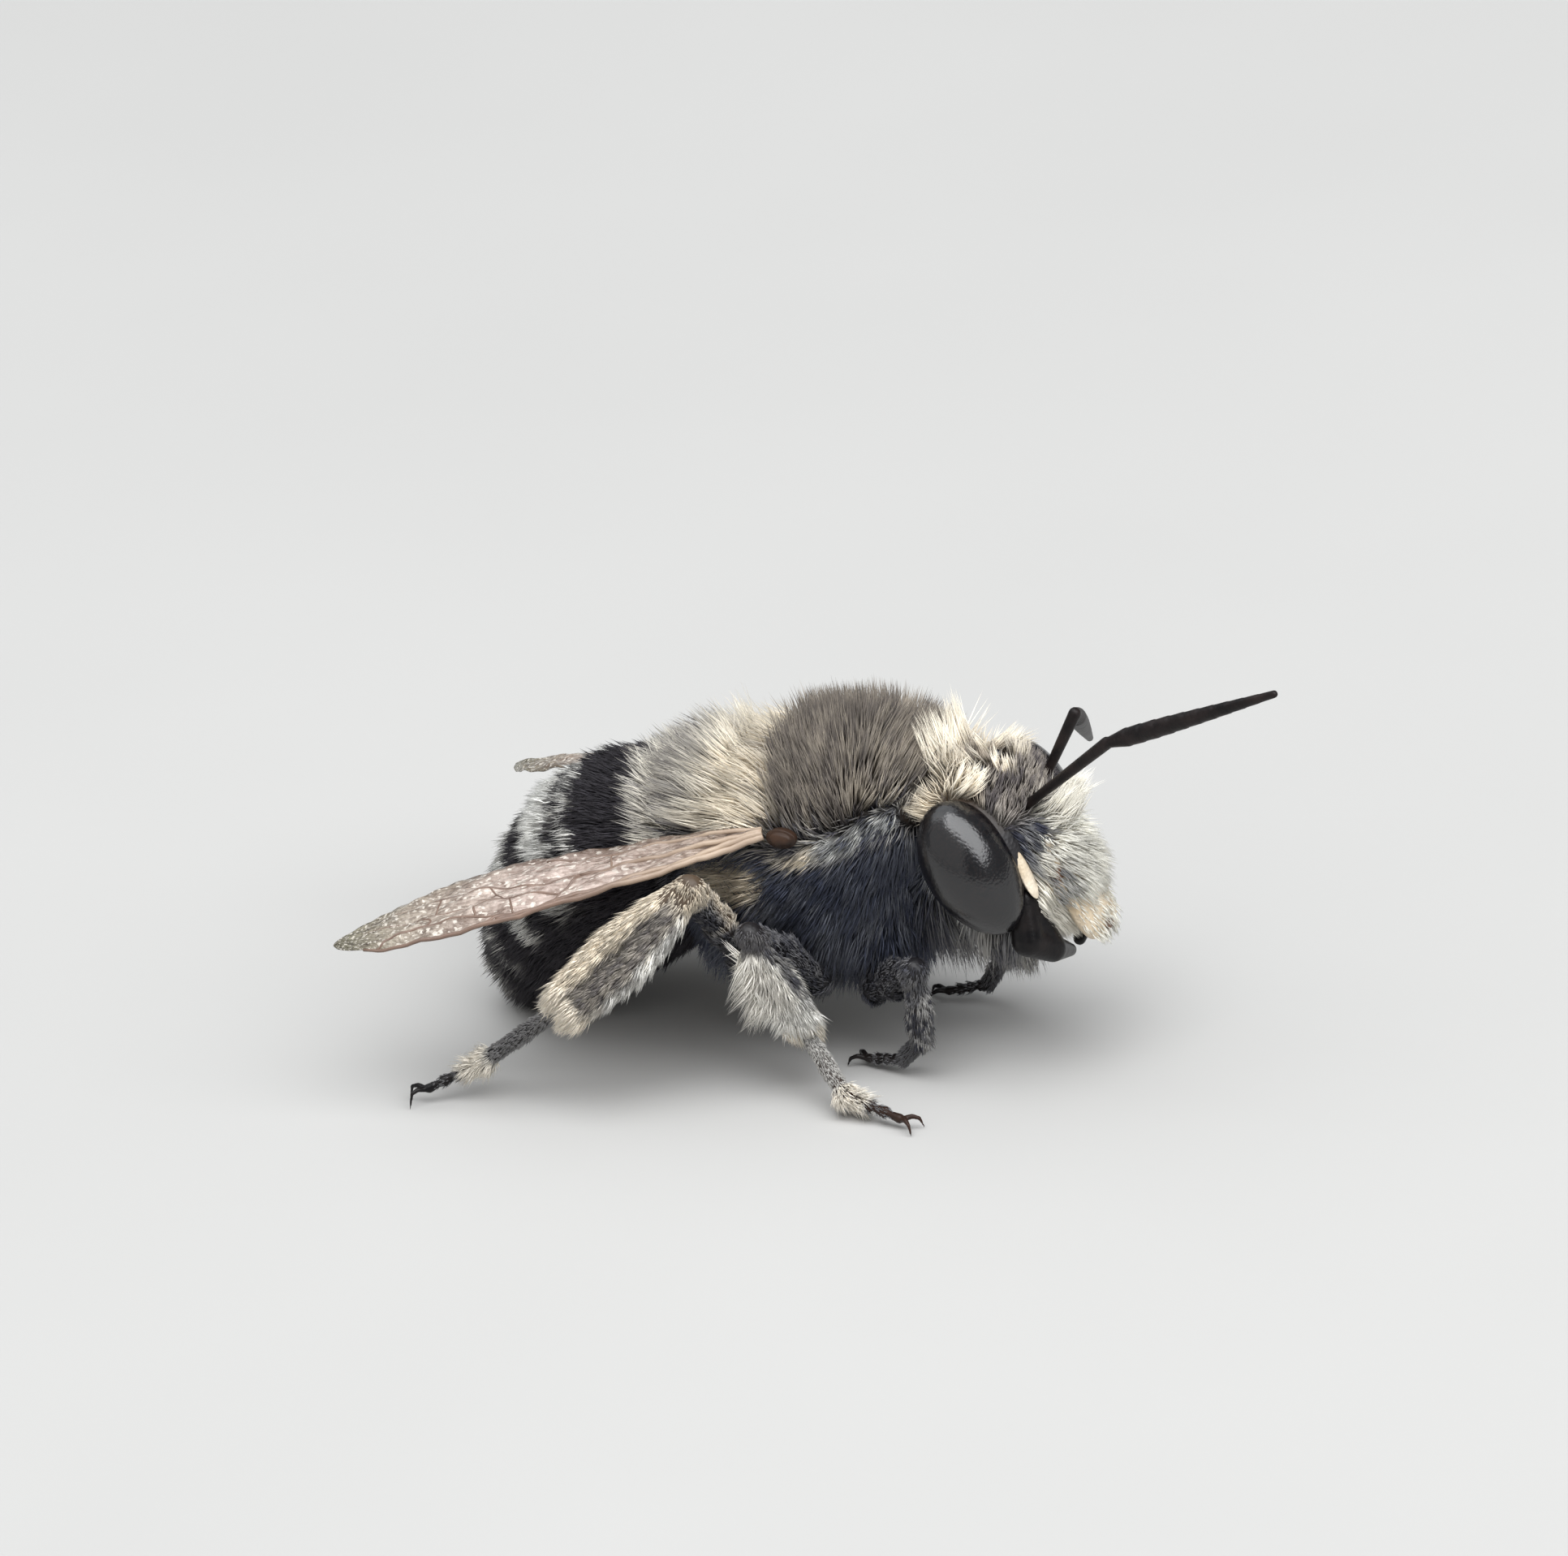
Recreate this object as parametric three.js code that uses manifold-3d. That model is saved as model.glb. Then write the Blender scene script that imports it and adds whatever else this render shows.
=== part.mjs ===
// A male flower bee standing at rest, life size, in millimetres: +X is forward, +Y is its left
// and +Z is up. Every body solid reaches out to the tips of the coat that covers it, and the feet
// stand on small flats at z = 0.
import * as THREE from "three";
import { mergeVertices } from "three/addons/utils/BufferGeometryUtils.js";
import Module from "manifold-3d";

const wasm = await Module();
wasm.setup();

// Driving dimensions
const gap = 0.05; // clearance between neighbouring pieces
const finish = { fine: 0.014, coarse: 0.032 }; // the deviation allowed in tidying away slivers
const bodyHeight = 3.8; // centre of the thorax above the floor
const thoraxRadii = { x: 3.45, y: 2.75, up: 3.1, down: 2.6 };
const thoraxPitch = 7; // degrees that the front is raised
const headRadii = { x: 1.55, y: 2.2, z: 1.98 };
const headCentre = new THREE.Vector3(3.75, 0, bodyHeight + 0.6);
const headTilt = 19; // degrees that the crown leans back
const eyeRadii = { x: 0.89, y: 0.9, z: 1.45 };
const eyeLean = 8; // degrees that the eyes lean back beyond the head
const wingLength = 8.65;
const hindwingShare = 0.72; // of the forewing's length
const sheetThickness = 0.5; // wings, thicker than life so that they can be handled
const wingSpacing = 0.12; // air between a forewing and the hindwing under it
const feelerRadius = 0.25;
const abdomenRadius = 2.5;
const abdomenFlatness = 0.93; // its depth as a share of its width
const abdomenSegments = 6;
const abdomenLift = 0.12; // its lowest point above the floor

const materials = {
  darkCoat: { color: 0x4a4140, roughness: 0.95, metalness: 0 },
  paleCoat: { color: 0xc9b08c, roughness: 0.95, metalness: 0 },
  face: { color: 0xe6dcc0, roughness: 0.7, metalness: 0 },
  shell: { color: 0x1c1818, roughness: 0.35, metalness: 0 },
  legCoat: { color: 0xb9ad9a, roughness: 0.9, metalness: 0 },
  eye: { color: 0x15171d, roughness: 0.2, metalness: 0 },
  wing: { color: 0xc6ad90, roughness: 0.3, metalness: 0 },
};

const group = new THREE.Group();
const v3 = (x, y, z) => new THREE.Vector3(x, y, z);
const degrees = THREE.MathUtils.degToRad;

// A closed geometry as a solid that can be cut and joined.
function solidOf(geometry) {
  const bare = geometry.clone();
  bare.deleteAttribute("normal");
  bare.deleteAttribute("uv");
  const merged = mergeVertices(bare, 1e-4);
  return new wasm.Manifold(
    new wasm.Mesh({
      numProp: 3,
      vertProperties: merged.attributes.position.array,
      triVerts: new Uint32Array(merged.index.array),
    }),
  );
}

// The largest body of a solid, without the crumbs that a cut can leave.
function largest(solid) {
  const bodies = solid.decompose();
  return bodies.reduce((a, b) => (a.volume() > b.volume() ? a : b));
}

function addPiece(name, solid, material, tolerance = finish.fine) {
  const mesh = largest(solid.simplify(tolerance)).getMesh();
  const geometry = new THREE.BufferGeometry();
  const positions = new Float32Array(mesh.vertProperties);
  geometry.setAttribute("position", new THREE.BufferAttribute(positions, 3));
  geometry.setIndex(new THREE.BufferAttribute(new Uint32Array(mesh.triVerts), 1));
  const piece = new THREE.Mesh(
    geometry,
    new THREE.MeshStandardMaterial(materials[material]),
  );
  piece.name = name;
  group.add(piece);
}

const subtractAll = (solid, others) =>
  others.reduce((rest, other) => rest.subtract(other), solid);

const round = { x: 1, y: 1, z: 1 };

// An ellipsoid whose lower half can be shallower than its upper half; a fullness below 1 makes it
// boxier along that axis, and grow adds a clearance all round.
function ellipsoid({ centre, radii, tilt = 0, fullness = round, detail }, grow = 0) {
  const bands = Math.round(detail * 0.6);
  const geometry = new THREE.SphereGeometry(1, detail, bands);
  const fill = (share, power) => Math.sign(share) * Math.pow(Math.abs(share), power);
  geometry.rotateX(Math.PI / 2);
  const up = (radii.up ?? radii.z) + grow;
  const down = (radii.down ?? radii.z) + grow;
  const place = geometry.attributes.position;
  for (let i = 0; i < place.count; i++) {
    const z = fill(place.getZ(i), fullness.z);
    place.setXYZ(
      i,
      fill(place.getX(i), fullness.x) * (radii.x + grow),
      fill(place.getY(i), fullness.y) * (radii.y + grow),
      z * (z > 0 ? up : down),
    );
  }
  geometry.rotateY(-degrees(tilt));
  geometry.translate(centre.x, centre.y, centre.z);
  return solidOf(geometry);
}

// A round-ended rod between two points, radius r0 to r1, swelling by belly in the middle and
// stretched upright by wide.
function rod(from, to, shape, grow = 0) {
  const { r0, r1, belly = 0, wide = 1, sides = 7, capSteps = 2 } = shape;
  const length = from.distanceTo(to);
  const steps = belly ? 3 : 1;
  const profile = [new THREE.Vector2(0, -r0 - grow)];
  for (let i = 1; i <= capSteps; i++) {
    const a = (i / capSteps) * (Math.PI / 2);
    profile.push(
      new THREE.Vector2((r0 + grow) * Math.sin(a), -(r0 + grow) * Math.cos(a)),
    );
  }
  for (let i = 1; i < steps; i++) {
    const t = i / steps;
    const radius = r0 + (r1 - r0) * t + belly * Math.sin(Math.PI * t);
    profile.push(new THREE.Vector2(radius + grow, length * t));
  }
  for (let i = 0; i < capSteps; i++) {
    const a = (i / capSteps) * (Math.PI / 2);
    profile.push(
      new THREE.Vector2((r1 + grow) * Math.cos(a), length + (r1 + grow) * Math.sin(a)),
    );
  }
  profile.push(new THREE.Vector2(0, length + r1 + grow));
  const geometry = new THREE.LatheGeometry(profile, sides);
  geometry.scale(wide, 1, 1);
  const along = to.clone().sub(from).normalize();
  const across = v3(0, 0, 1).addScaledVector(along, -along.z).normalize();
  const basis = new THREE.Matrix4().makeBasis(
    across,
    along,
    across.clone().cross(along),
  );
  geometry.applyMatrix4(basis.setPosition(from));
  return solidOf(geometry);
}

// The side of a plane through point that normal points to, held back by half the clearance.
const keepSide = (solid, point, normal, grow = 0) =>
  solid.trimByPlane(normal.toArray(), normal.dot(point) + gap / 2 - grow);

// Rods along a chain of joints, mitred against each other at every joint.
function chain(joints, rods, grow = 0) {
  const ways = rods.map((_, i) => joints[i + 1].clone().sub(joints[i]).normalize());
  return rods.map((shape, i) => {
    let solid = rod(joints[i], joints[i + 1], shape, grow);
    if (i > 0) {
      const mitre = ways[i - 1].clone().add(ways[i]).normalize();
      solid = keepSide(solid, joints[i], mitre, grow);
    }
    if (i < rods.length - 1) {
      const mitre = ways[i].clone().add(ways[i + 1]).normalize();
      solid = keepSide(solid, joints[i + 1], mitre.negate(), grow);
    }
    return solid;
  });
}

const mirrored = (point) => v3(point.x, -point.y, point.z);
const onSide = (point, side) => (side === "right" ? point.clone() : mirrored(point));

// The right legs' joints from the hip down; the left legs are their mirror, moved by leftShift
// at the foot.
const legs = {
  front: {
    joints: [v3(1.2, -0.7, 2.1), v3(1.25, -1.15, 1.8), v3(2.3, -1.85, 2.25)],
    foot: [v3(2.2, -1.75, 0.95), v3(1.75, -1.6, 0.4), v3(1.0, -1.45, 0.2)],
    leftShift: v3(0.4, 0.1, 0),
    tibia: { r0: 0.36, r1: 0.42, wide: 1.25 },
  },
  middle: {
    joints: [v3(0.2, -0.9, 2.1), v3(0.15, -1.5, 1.95), v3(-0.23, -3.2, 3.5)],
    foot: [v3(0.3, -2.6, 1.3), v3(1.35, -3.37, 0.45), v3(2.9, -3.75, 0.2)],
    leftShift: v3(-2.3, 0.3, 0),
    tibia: { r0: 0.38, r1: 0.5, wide: 1.3 },
  },
  hind: {
    joints: [v3(-1.3, -0.9, 2.1), v3(-1.35, -1.6, 2.2), v3(-1.5, -3.2, 4.3)],
    foot: [v3(-3.75, -4.4, 2.4), v3(-5.9, -4.2, 0.8), v3(-7.15, -4.75, 0.2)],
    leftShift: v3(0.9, 0.3, 0),
    tibia: { r0: 0.4, r1: 0.52, wide: 1.3 },
  },
};
const segmentNames = ["coxa", "femur", "tibia", "basitarsus", "tarsus"];
const segmentCoats = ["shell", "darkCoat", "legCoat", "shell", "shell"];
const shiftShare = [0, 0, 0.12, 0.5, 0.85, 1]; // of leftShift, from the hip to the foot
const coxa = { r0: 0.5, r1: 0.42, sides: 6, capSteps: 1 };
const femur = { r0: 0.4, r1: 0.36, belly: 0.16 };
const basitarsus = { r0: 0.32, r1: 0.28, wide: 1.15 };
const tarsus = { r0: 0.27, r1: 0.25 };
const claw = { r0: 0.2, r1: 0.1, sides: 5, capSteps: 1 };
const clawLength = 0.42;
const clawSpread = 32; // degrees either side of the foot's line
const clawTipHeight = 0.1;

function legSolids(leg, side, grow = 0) {
  const joints = [...leg.joints, ...leg.foot].map((joint, i) => {
    const placed = onSide(joint, side);
    return side === "left" ? placed.addScaledVector(leg.leftShift, shiftShare[i]) : placed;
  });
  const rods = [coxa, femur, leg.tibia, basitarsus, tarsus];
  const solids = chain(joints, rods, grow);
  const foot = clawed(solids.pop(), joints.at(-2), joints.at(-1), grow);
  return [...solids, foot].map((solid) => solid.trimByPlane([0, 0, 1], 0));
}

// The foot's last joints end in two spread claws.
function clawed(foot, heel, tip, grow) {
  const ahead = v3(tip.x - heel.x, tip.y - heel.y, 0).normalize();
  return [-clawSpread, clawSpread].reduce((solid, angle) => {
    const way = ahead.clone().applyAxisAngle(v3(0, 0, 1), degrees(angle));
    const end = tip.clone().addScaledVector(way, clawLength).setZ(clawTipHeight);
    return solid.add(rod(tip, end, claw, grow));
  }, foot);
}

// The wings are flat. Each edge lists places that a smooth curve runs through, as a share of the
// length and a distance across, from the root along the leading edge and back along the trailing.
const wingEdges = {
  forewing: {
    leading: [
      [0, -0.12],
      [0.3, -0.25],
      [0.65, -0.25],
      [0.88, 0],
      [0.97, 0.2],
    ],
    trailing: [
      [1, 0.6],
      [0.95, 1.35],
      [0.84, 1.95],
      [0.66, 2.2],
      [0.48, 1.95],
      [0.25, 1.1],
      [0, 0.42],
    ],
  },
  hindwing: {
    leading: [
      [0, -0.1],
      [0.4, -0.15],
      [0.8, -0.05],
      [0.95, 0.4],
    ],
    trailing: [
      [0.92, 1],
      [0.75, 1.5],
      [0.5, 1.7],
      [0.3, 1.3],
      [0.12, 0.65],
      [0, 0.38],
    ],
  },
};

function outline({ leading, trailing }, length, grow) {
  const place = (edge, outward) =>
    edge.map(([x, y]) => new THREE.Vector2(x * length + (2 * x - 1) * grow, y + outward * grow));
  const points = [...place(leading, -1), ...place(trailing, 1)];
  const shape = new THREE.Shape();
  shape.moveTo(points[0].x, points[0].y);
  shape.splineThru(points.slice(1));
  return shape;
}

// A wing from root towards tip; tilt raises the trailing edge, drop lowers the whole sheet.
function wing(edge, root, tip, side, { length, tilt, drop = 0 }, grow = 0) {
  const thick = sheetThickness + 2 * grow;
  const geometry = new THREE.ExtrudeGeometry(outline(edge, length, grow), {
    depth: thick,
    bevelEnabled: false,
    curveSegments: 2,
  });
  geometry.translate(0, 0, -thick / 2);
  const inward = side === "right" ? 1 : -1;
  const along = tip.clone().sub(root).normalize();
  const level = v3(0, 0, 1).cross(along).normalize();
  if (level.y * inward < 0) level.negate();
  const up = along.clone().cross(level).normalize();
  if (up.z < 0) up.negate();
  const chord = level
    .multiplyScalar(Math.cos(degrees(tilt)))
    .addScaledVector(up, Math.sin(degrees(tilt)));
  const normal = along.clone().cross(chord);
  const start = root.clone().addScaledVector(up, -drop);
  const basis = new THREE.Matrix4().makeBasis(along, chord, normal);
  geometry.applyMatrix4(basis.setPosition(start));
  return solidOf(geometry);
}

// A wing's tip fixes only its direction; tilt is in degrees.
const wingPlaces = {
  right: { root: v3(-0.35, -2.1, 5.1), tip: v3(-7.97, -5.7, 3.6), tilt: -5 },
  left: { root: v3(-0.35, 2.1, 5.1), tip: v3(-8.2, 4.5, 2.75), tilt: 10 },
};

// From the forewing's root, on the right side: the hindwing's root and the cap over the hinge.
const hindwingOffset = v3(-0.5, 0.1, -0.1);
const tegulaOffset = v3(0.35, 0.05, 0.02);
const tegulaRadii = { x: 0.5, y: 0.36, z: 0.42 };

function wingSolids(side, grow = 0) {
  const { root, tip, tilt } = wingPlaces[side];
  const hindRoot = onSide(hindwingOffset, side).add(root);
  const tegula = {
    centre: onSide(tegulaOffset, side).add(root),
    radii: tegulaRadii,
    detail: 9,
  };
  const fore = { length: wingLength, tilt };
  const hind = {
    length: wingLength * hindwingShare,
    tilt,
    drop: sheetThickness + wingSpacing,
  };
  return {
    forewing: wing(wingEdges.forewing, root, tip, side, fore, grow),
    hindwing: wing(wingEdges.hindwing, hindRoot, tip, side, hind, grow),
    tegula: ellipsoid(tegula, grow),
  };
}

// The head's own frame: x ahead of the face, z up to the crown, leaning back by headTilt.
const inHead = (x, y, z) =>
  v3(x, y, z).applyAxisAngle(v3(0, 1, 0), -degrees(headTilt)).add(headCentre);

const eyeSolid = (sign, grow = 0) => {
  const centre = inHead(-0.02, sign * 1.45, 0.08);
  return ellipsoid({ centre, radii: eyeRadii, tilt: headTilt + eyeLean, detail: 16 }, grow);
};

const antennae = {
  right: [inHead(0.9, -0.5, 0.75), v3(6.45, -0.9, 7.15), v3(10.1, -1.48, 8.72)],
  left: [inHead(0.9, 0.5, 0.75), v3(5.0, 0.9, 6.75), v3(3.85, 3.95, 4.75)],
};
const feeler = { r0: feelerRadius, r1: feelerRadius };
const antennaSolids = (side, grow = 0) => chain(antennae[side], [feeler, feeler], grow);

const mandibleSolid = (sign, grow = 0) => {
  const base = inHead(0.35, sign * 1.1, -1.72);
  const point = inHead(0.42, sign * 0.3, -2.3);
  return rod(base, point, { r0: 0.36, r1: 0.2 }, grow);
};

const facePlates = {
  clypeus: { centre: inHead(1.12, 0, -0.62), radii: { x: 0.88, y: 1.12, z: 1.1 } },
  labrum: { centre: inHead(1.02, 0, -1.72), radii: { x: 0.45, y: 0.62, z: 0.5 } },
};
const facePlate = (name, grow = 0) =>
  ellipsoid({ ...facePlates[name], tilt: headTilt, detail: 12 }, grow);

// The abdomen droops along a bend behind the thorax, and its segments share the middle of it.
const abdomenLine = new THREE.CubicBezierCurve3(
  v3(-1.9, 0, 4.15),
  v3(-3.7, 0, 4.1),
  v3(-5.9, 0, 2.5),
  v3(-7.05, 0, -0.1),
);
const abdomenCuts = { start: 0.16, end: 0.88 };

function abdomenSolid() {
  const rings = 14;
  const sides = 20;
  const swell = (t) => Math.pow(Math.sin(Math.PI * Math.pow(t, 0.85)), 0.55);
  const profile = [];
  for (let i = 0; i <= rings; i++) {
    const t = i / rings;
    const end = i === 0 || i === rings;
    profile.push(new THREE.Vector2(end ? 0 : abdomenRadius * swell(t), t));
  }
  const geometry = new THREE.LatheGeometry(profile, sides);
  const place = geometry.attributes.position;
  for (let i = 0; i < place.count; i++) {
    const t = place.getY(i);
    const along = abdomenLine.getTangent(t);
    const up = v3(along.z, 0, -along.x);
    const point = abdomenLine
      .getPoint(t)
      .addScaledVector(up, place.getX(i) * abdomenFlatness)
      .add(v3(0, -place.getZ(i), 0));
    place.setXYZ(i, point.x, point.y, point.z);
  }
  return solidOf(geometry).trimByPlane([0, 0, 1], abdomenLift);
}

function abdomenSlices(solid) {
  const slices = [];
  let rest = solid;
  for (let i = 1; i < abdomenSegments; i++) {
    const t = THREE.MathUtils.lerp(abdomenCuts.start, abdomenCuts.end, i / abdomenSegments);
    const cutAt = abdomenLine.getPoint(t);
    const back = abdomenLine.getTangent(t);
    slices.push(keepSide(rest, cutAt, back.clone().negate()));
    rest = keepSide(rest, cutAt, back);
  }
  return [...slices, rest];
}

const thoraxShape = {
  centre: v3(-0.3, 0, bodyHeight),
  radii: thoraxRadii,
  tilt: thoraxPitch,
  fullness: { x: 0.82, y: 0.95, z: 0.78 },
  detail: 20,
};
const headShape = { centre: headCentre, radii: headRadii, tilt: headTilt, detail: 20 };

// Legs, wings, feelers, eyes and jaws keep their shape, and the coat of the body parts round them.
const sides = { right: -1, left: 1 };
const legClearance = [];
const wingClearance = [];
const headClearance = [];

for (const [side, sign] of Object.entries(sides)) {
  for (const [name, leg] of Object.entries(legs)) {
    legSolids(leg, side).forEach((solid, i) =>
      addPiece(`leg_${name}_${side}_${segmentNames[i]}`, solid, segmentCoats[i]),
    );
    legClearance.push(...legSolids(leg, side, gap));
  }

  const wings = wingSolids(side);
  const wingRoom = wingSolids(side, gap);
  const hindwing = subtractAll(wings.hindwing, [wingRoom.forewing, ...legClearance]);
  const tegula = subtractAll(wings.tegula, [wingRoom.forewing, wingRoom.hindwing]);
  addPiece(`forewing_${side}`, subtractAll(wings.forewing, legClearance), "wing");
  addPiece(`hindwing_${side}`, hindwing, "wing");
  addPiece(`tegula_${side}`, tegula, "shell");
  // The outlines' curves bend a little differently as they grow, so the coat stays twice as clear.
  wingClearance.push(...Object.values(wingSolids(side, 2 * gap)));

  const [scape, flagellum] = antennaSolids(side);
  const mandible = mandibleSolid(sign).subtract(eyeSolid(sign, gap));
  addPiece(`antenna_${side}_scape`, scape, "shell");
  addPiece(`antenna_${side}_flagellum`, flagellum, "shell");
  addPiece(`eye_${side}`, eyeSolid(sign), "eye");
  addPiece(`mandible_${side}`, mandible, "shell");
  headClearance.push(
    ...antennaSolids(side, gap),
    eyeSolid(sign, gap),
    mandibleSolid(sign, gap),
  );
}

const clypeusRoom = facePlate("clypeus", gap);
const clypeus = subtractAll(facePlate("clypeus"), headClearance);
addPiece("clypeus", clypeus, "face");
const labrum = subtractAll(facePlate("labrum"), [clypeusRoom, ...headClearance]);
addPiece("labrum", labrum, "face");

const thoraxRoom = ellipsoid(thoraxShape, gap);
const thorax = subtractAll(ellipsoid(thoraxShape), [
  ...legClearance,
  ...wingClearance,
  ...headClearance,
]);
addPiece("thorax", thorax, "darkCoat", finish.coarse);

const head = subtractAll(ellipsoid(headShape), [
  thoraxRoom,
  clypeusRoom,
  facePlate("labrum", gap),
  ...headClearance,
  ...legClearance,
]);
addPiece("head", head, "darkCoat", finish.coarse);

const abdomen = subtractAll(abdomenSolid(), [
  thoraxRoom,
  ...legClearance,
  ...wingClearance,
]);
abdomenSlices(abdomen).forEach((slice, i) =>
  addPiece(`abdomen_${i + 1}`, slice, i === 0 ? "paleCoat" : "darkCoat", finish.coarse),
);

// The origin is on the floor, under the middle of the whole model.
const bounds = new THREE.Box3().setFromObject(group);
const middle = bounds.getCenter(v3(0, 0, 0));
group.position.set(-middle.x, -middle.y, 0);

export default group;
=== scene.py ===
# A male flower bee at rest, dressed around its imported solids.
# Shapes are modelled in millimetres and each finished piece is scaled to metres.
import math
from functools import partial

import bpy
import numpy as np
from mathutils import Matrix, Vector
from mathutils.kdtree import KDTree


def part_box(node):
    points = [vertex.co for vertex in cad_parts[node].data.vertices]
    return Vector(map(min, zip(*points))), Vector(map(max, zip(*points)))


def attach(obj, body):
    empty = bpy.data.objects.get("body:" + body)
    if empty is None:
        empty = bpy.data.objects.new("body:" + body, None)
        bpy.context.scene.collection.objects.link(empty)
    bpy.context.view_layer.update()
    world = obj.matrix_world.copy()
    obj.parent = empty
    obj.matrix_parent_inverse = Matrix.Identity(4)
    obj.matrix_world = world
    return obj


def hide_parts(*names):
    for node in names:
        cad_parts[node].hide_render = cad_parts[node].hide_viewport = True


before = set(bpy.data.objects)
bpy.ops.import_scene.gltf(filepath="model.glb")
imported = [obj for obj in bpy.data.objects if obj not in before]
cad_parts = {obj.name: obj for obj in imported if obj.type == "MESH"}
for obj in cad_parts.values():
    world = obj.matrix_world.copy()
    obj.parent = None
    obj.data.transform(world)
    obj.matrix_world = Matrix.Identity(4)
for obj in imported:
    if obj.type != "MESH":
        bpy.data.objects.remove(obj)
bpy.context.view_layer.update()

mm = 0.001
sides = {"right": -1, "left": 1}
legNames = ["front", "middle", "hind"]
up = Vector((0, 0, 1))


# Places read from the frame, in millimetres

def nodePoints(name):
    return np.array([v.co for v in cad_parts[name].data.vertices]) / mm


def boxCentre(name):
    low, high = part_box(name)
    return (low + high) / 2 / mm


def nodeEnds(name):
    # the middles of both ends of a long node
    points = nodePoints(name)
    centre = points.mean(axis=0)
    axis = np.linalg.svd(points - centre, full_matrices=False)[2][0]
    along = (points - centre) @ axis
    margin = 0.15 * (along.max() - along.min())
    ends = [along > along.max() - margin, along < along.min() + margin]
    return [Vector(points[end].mean(axis=0)) for end in ends]


def endsFrom(name, place):
    # both ends of a long node, the one nearer to the place first
    return sorted(nodeEnds(name), key=lambda end: (end - place).length)


def legJoints(leg, side):
    # hip, knee, ankle, heel and foot tip of a leg, from where its solids meet
    chain = [boxCentre(f"leg_{leg}_{side}_coxa")]
    for part in ("femur", "tibia", "basitarsus", "tarsus"):
        near, far = endsFrom(f"leg_{leg}_{side}_{part}", chain[-1])
        if part == "femur":
            chain.append(near)
        else:
            chain[-1] = (chain[-1] + near) / 2
        chain.append(far)
    return chain


thoraxLow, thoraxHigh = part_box("thorax")
eyeMiddle = (boxCentre("eye_right") + boxCentre("eye_left")) / 2
thoraxCentre = Vector((boxCentre("thorax").x, eyeMiddle.y, 0))
thoraxCentre.z = (thoraxLow.z * 0.54 + thoraxHigh.z * 0.46) / mm
headCentre = eyeMiddle
headTilt = 19  # degrees that the crown leans back
thoraxPitch = 7  # degrees that the front is raised
joints = {(leg, side): legJoints(leg, side) for leg in legNames for side in sides}


def mirrored(place, side):
    # a place given for the left side, on the side asked for
    return place[0], sides[side] * place[1], place[2]


def turned(tilt):
    # turns a piece's own axes into the row's: the front goes up by tilt
    return Matrix.Rotation(-math.radians(tilt), 3, "Y")


def inHead(x, y, z):
    # x ahead of the face, z up to the crown
    return headCentre + turned(headTilt) @ Vector((x, y, z))


def unit(vectors):
    return vectors / np.maximum(np.linalg.norm(vectors, axis=-1, keepdims=True), 1e-9)


def step(low, high, value):
    # 0 below low, 1 above high, smooth between; low may be the greater
    share = np.clip((value - low) / (high - low), 0, 1)
    return share * share * (3 - 2 * share)


# Modelling helpers

def clearSelection():
    bpy.ops.object.select_all(action="DESELECT")


def selectPieces(parts):
    # the first one becomes the active one
    clearSelection()
    for part in parts:
        part.select_set(True)
    bpy.context.view_layer.objects.active = parts[0]


def placed(name):
    piece = bpy.context.object
    piece.name = name
    piece.data.name = name
    bpy.ops.object.transform_apply(location=True, rotation=True, scale=True)
    return piece


def addBall(name, centre, radii, tilt=0, segments=32, rings=20):
    clearSelection()
    turn = (0, -math.radians(tilt), 0)
    bpy.ops.mesh.primitive_uv_sphere_add(segments=segments, ring_count=rings, radius=1, location=centre,
                                         rotation=turn)
    bpy.context.object.scale = radii
    return placed(name)


def addTaper(name, start, end, startRadius, endRadius, segments=20):
    clearSelection()
    way = end - start
    turn = way.to_track_quat("Z", "Y").to_euler()
    bpy.ops.mesh.primitive_cone_add(vertices=segments, radius1=startRadius, radius2=endRadius,
                                    depth=way.length, location=(start + end) / 2, rotation=turn)
    return placed(name)


def addLimb(name, start, end, startRadius, endRadius, segments=20):
    # a taper with a round joint at each end
    parts = [
        addTaper(name, start, end, startRadius, endRadius, segments),
        addBall(name, start, (startRadius,) * 3, 0, segments, segments // 2),
        addBall(name, end, (endRadius,) * 3, 0, segments, segments // 2),
    ]
    return joined(name, parts)


def addChain(name, places, radii, segments=20):
    # limbs from place to place, with a radius at each place
    ends = zip(places, places[1:], radii, radii[1:])
    return [addLimb(name, *end, segments) for end in ends]


def joined(name, parts):
    selectPieces(parts)
    bpy.ops.object.join()
    parts[0].name = name
    parts[0].data.name = name
    return parts[0]


def modified(piece, kind, **settings):
    selectPieces([piece])
    modifier = piece.modifiers.new(kind.title(), kind)
    for key, value in settings.items():
        setattr(modifier, key, value)
    bpy.ops.object.modifier_apply(modifier=modifier.name)
    return piece


def faceOut(piece):
    selectPieces([piece])
    bpy.ops.object.mode_set(mode="EDIT")
    bpy.ops.mesh.select_all(action="SELECT")
    bpy.ops.mesh.normals_make_consistent(inside=False)
    bpy.ops.object.mode_set(mode="OBJECT")
    return piece


def getPoints(mesh):
    flat = np.empty(len(mesh.vertices) * 3)
    mesh.vertices.foreach_get("co", flat)
    return flat.reshape(-1, 3)


def setPoints(mesh, points):
    mesh.vertices.foreach_set("co", np.asarray(points, np.float32).ravel())
    mesh.update()


def setShaped(piece, points, radii, tilt, centre):
    # a form of unit size is sized, tilted and put in its place
    setPoints(piece.data, (points * radii) @ np.array(turned(tilt)).T + np.array(centre))


def addObject(name, data):
    piece = bpy.data.objects.new(name, data)
    bpy.context.scene.collection.objects.link(piece)
    return piece


def setMarks(mesh, marks):
    for key, values in marks.items():
        layer = mesh.attributes.new(key, "FLOAT", "POINT")
        layer.data.foreach_set("value", values.astype(np.float32))


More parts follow.
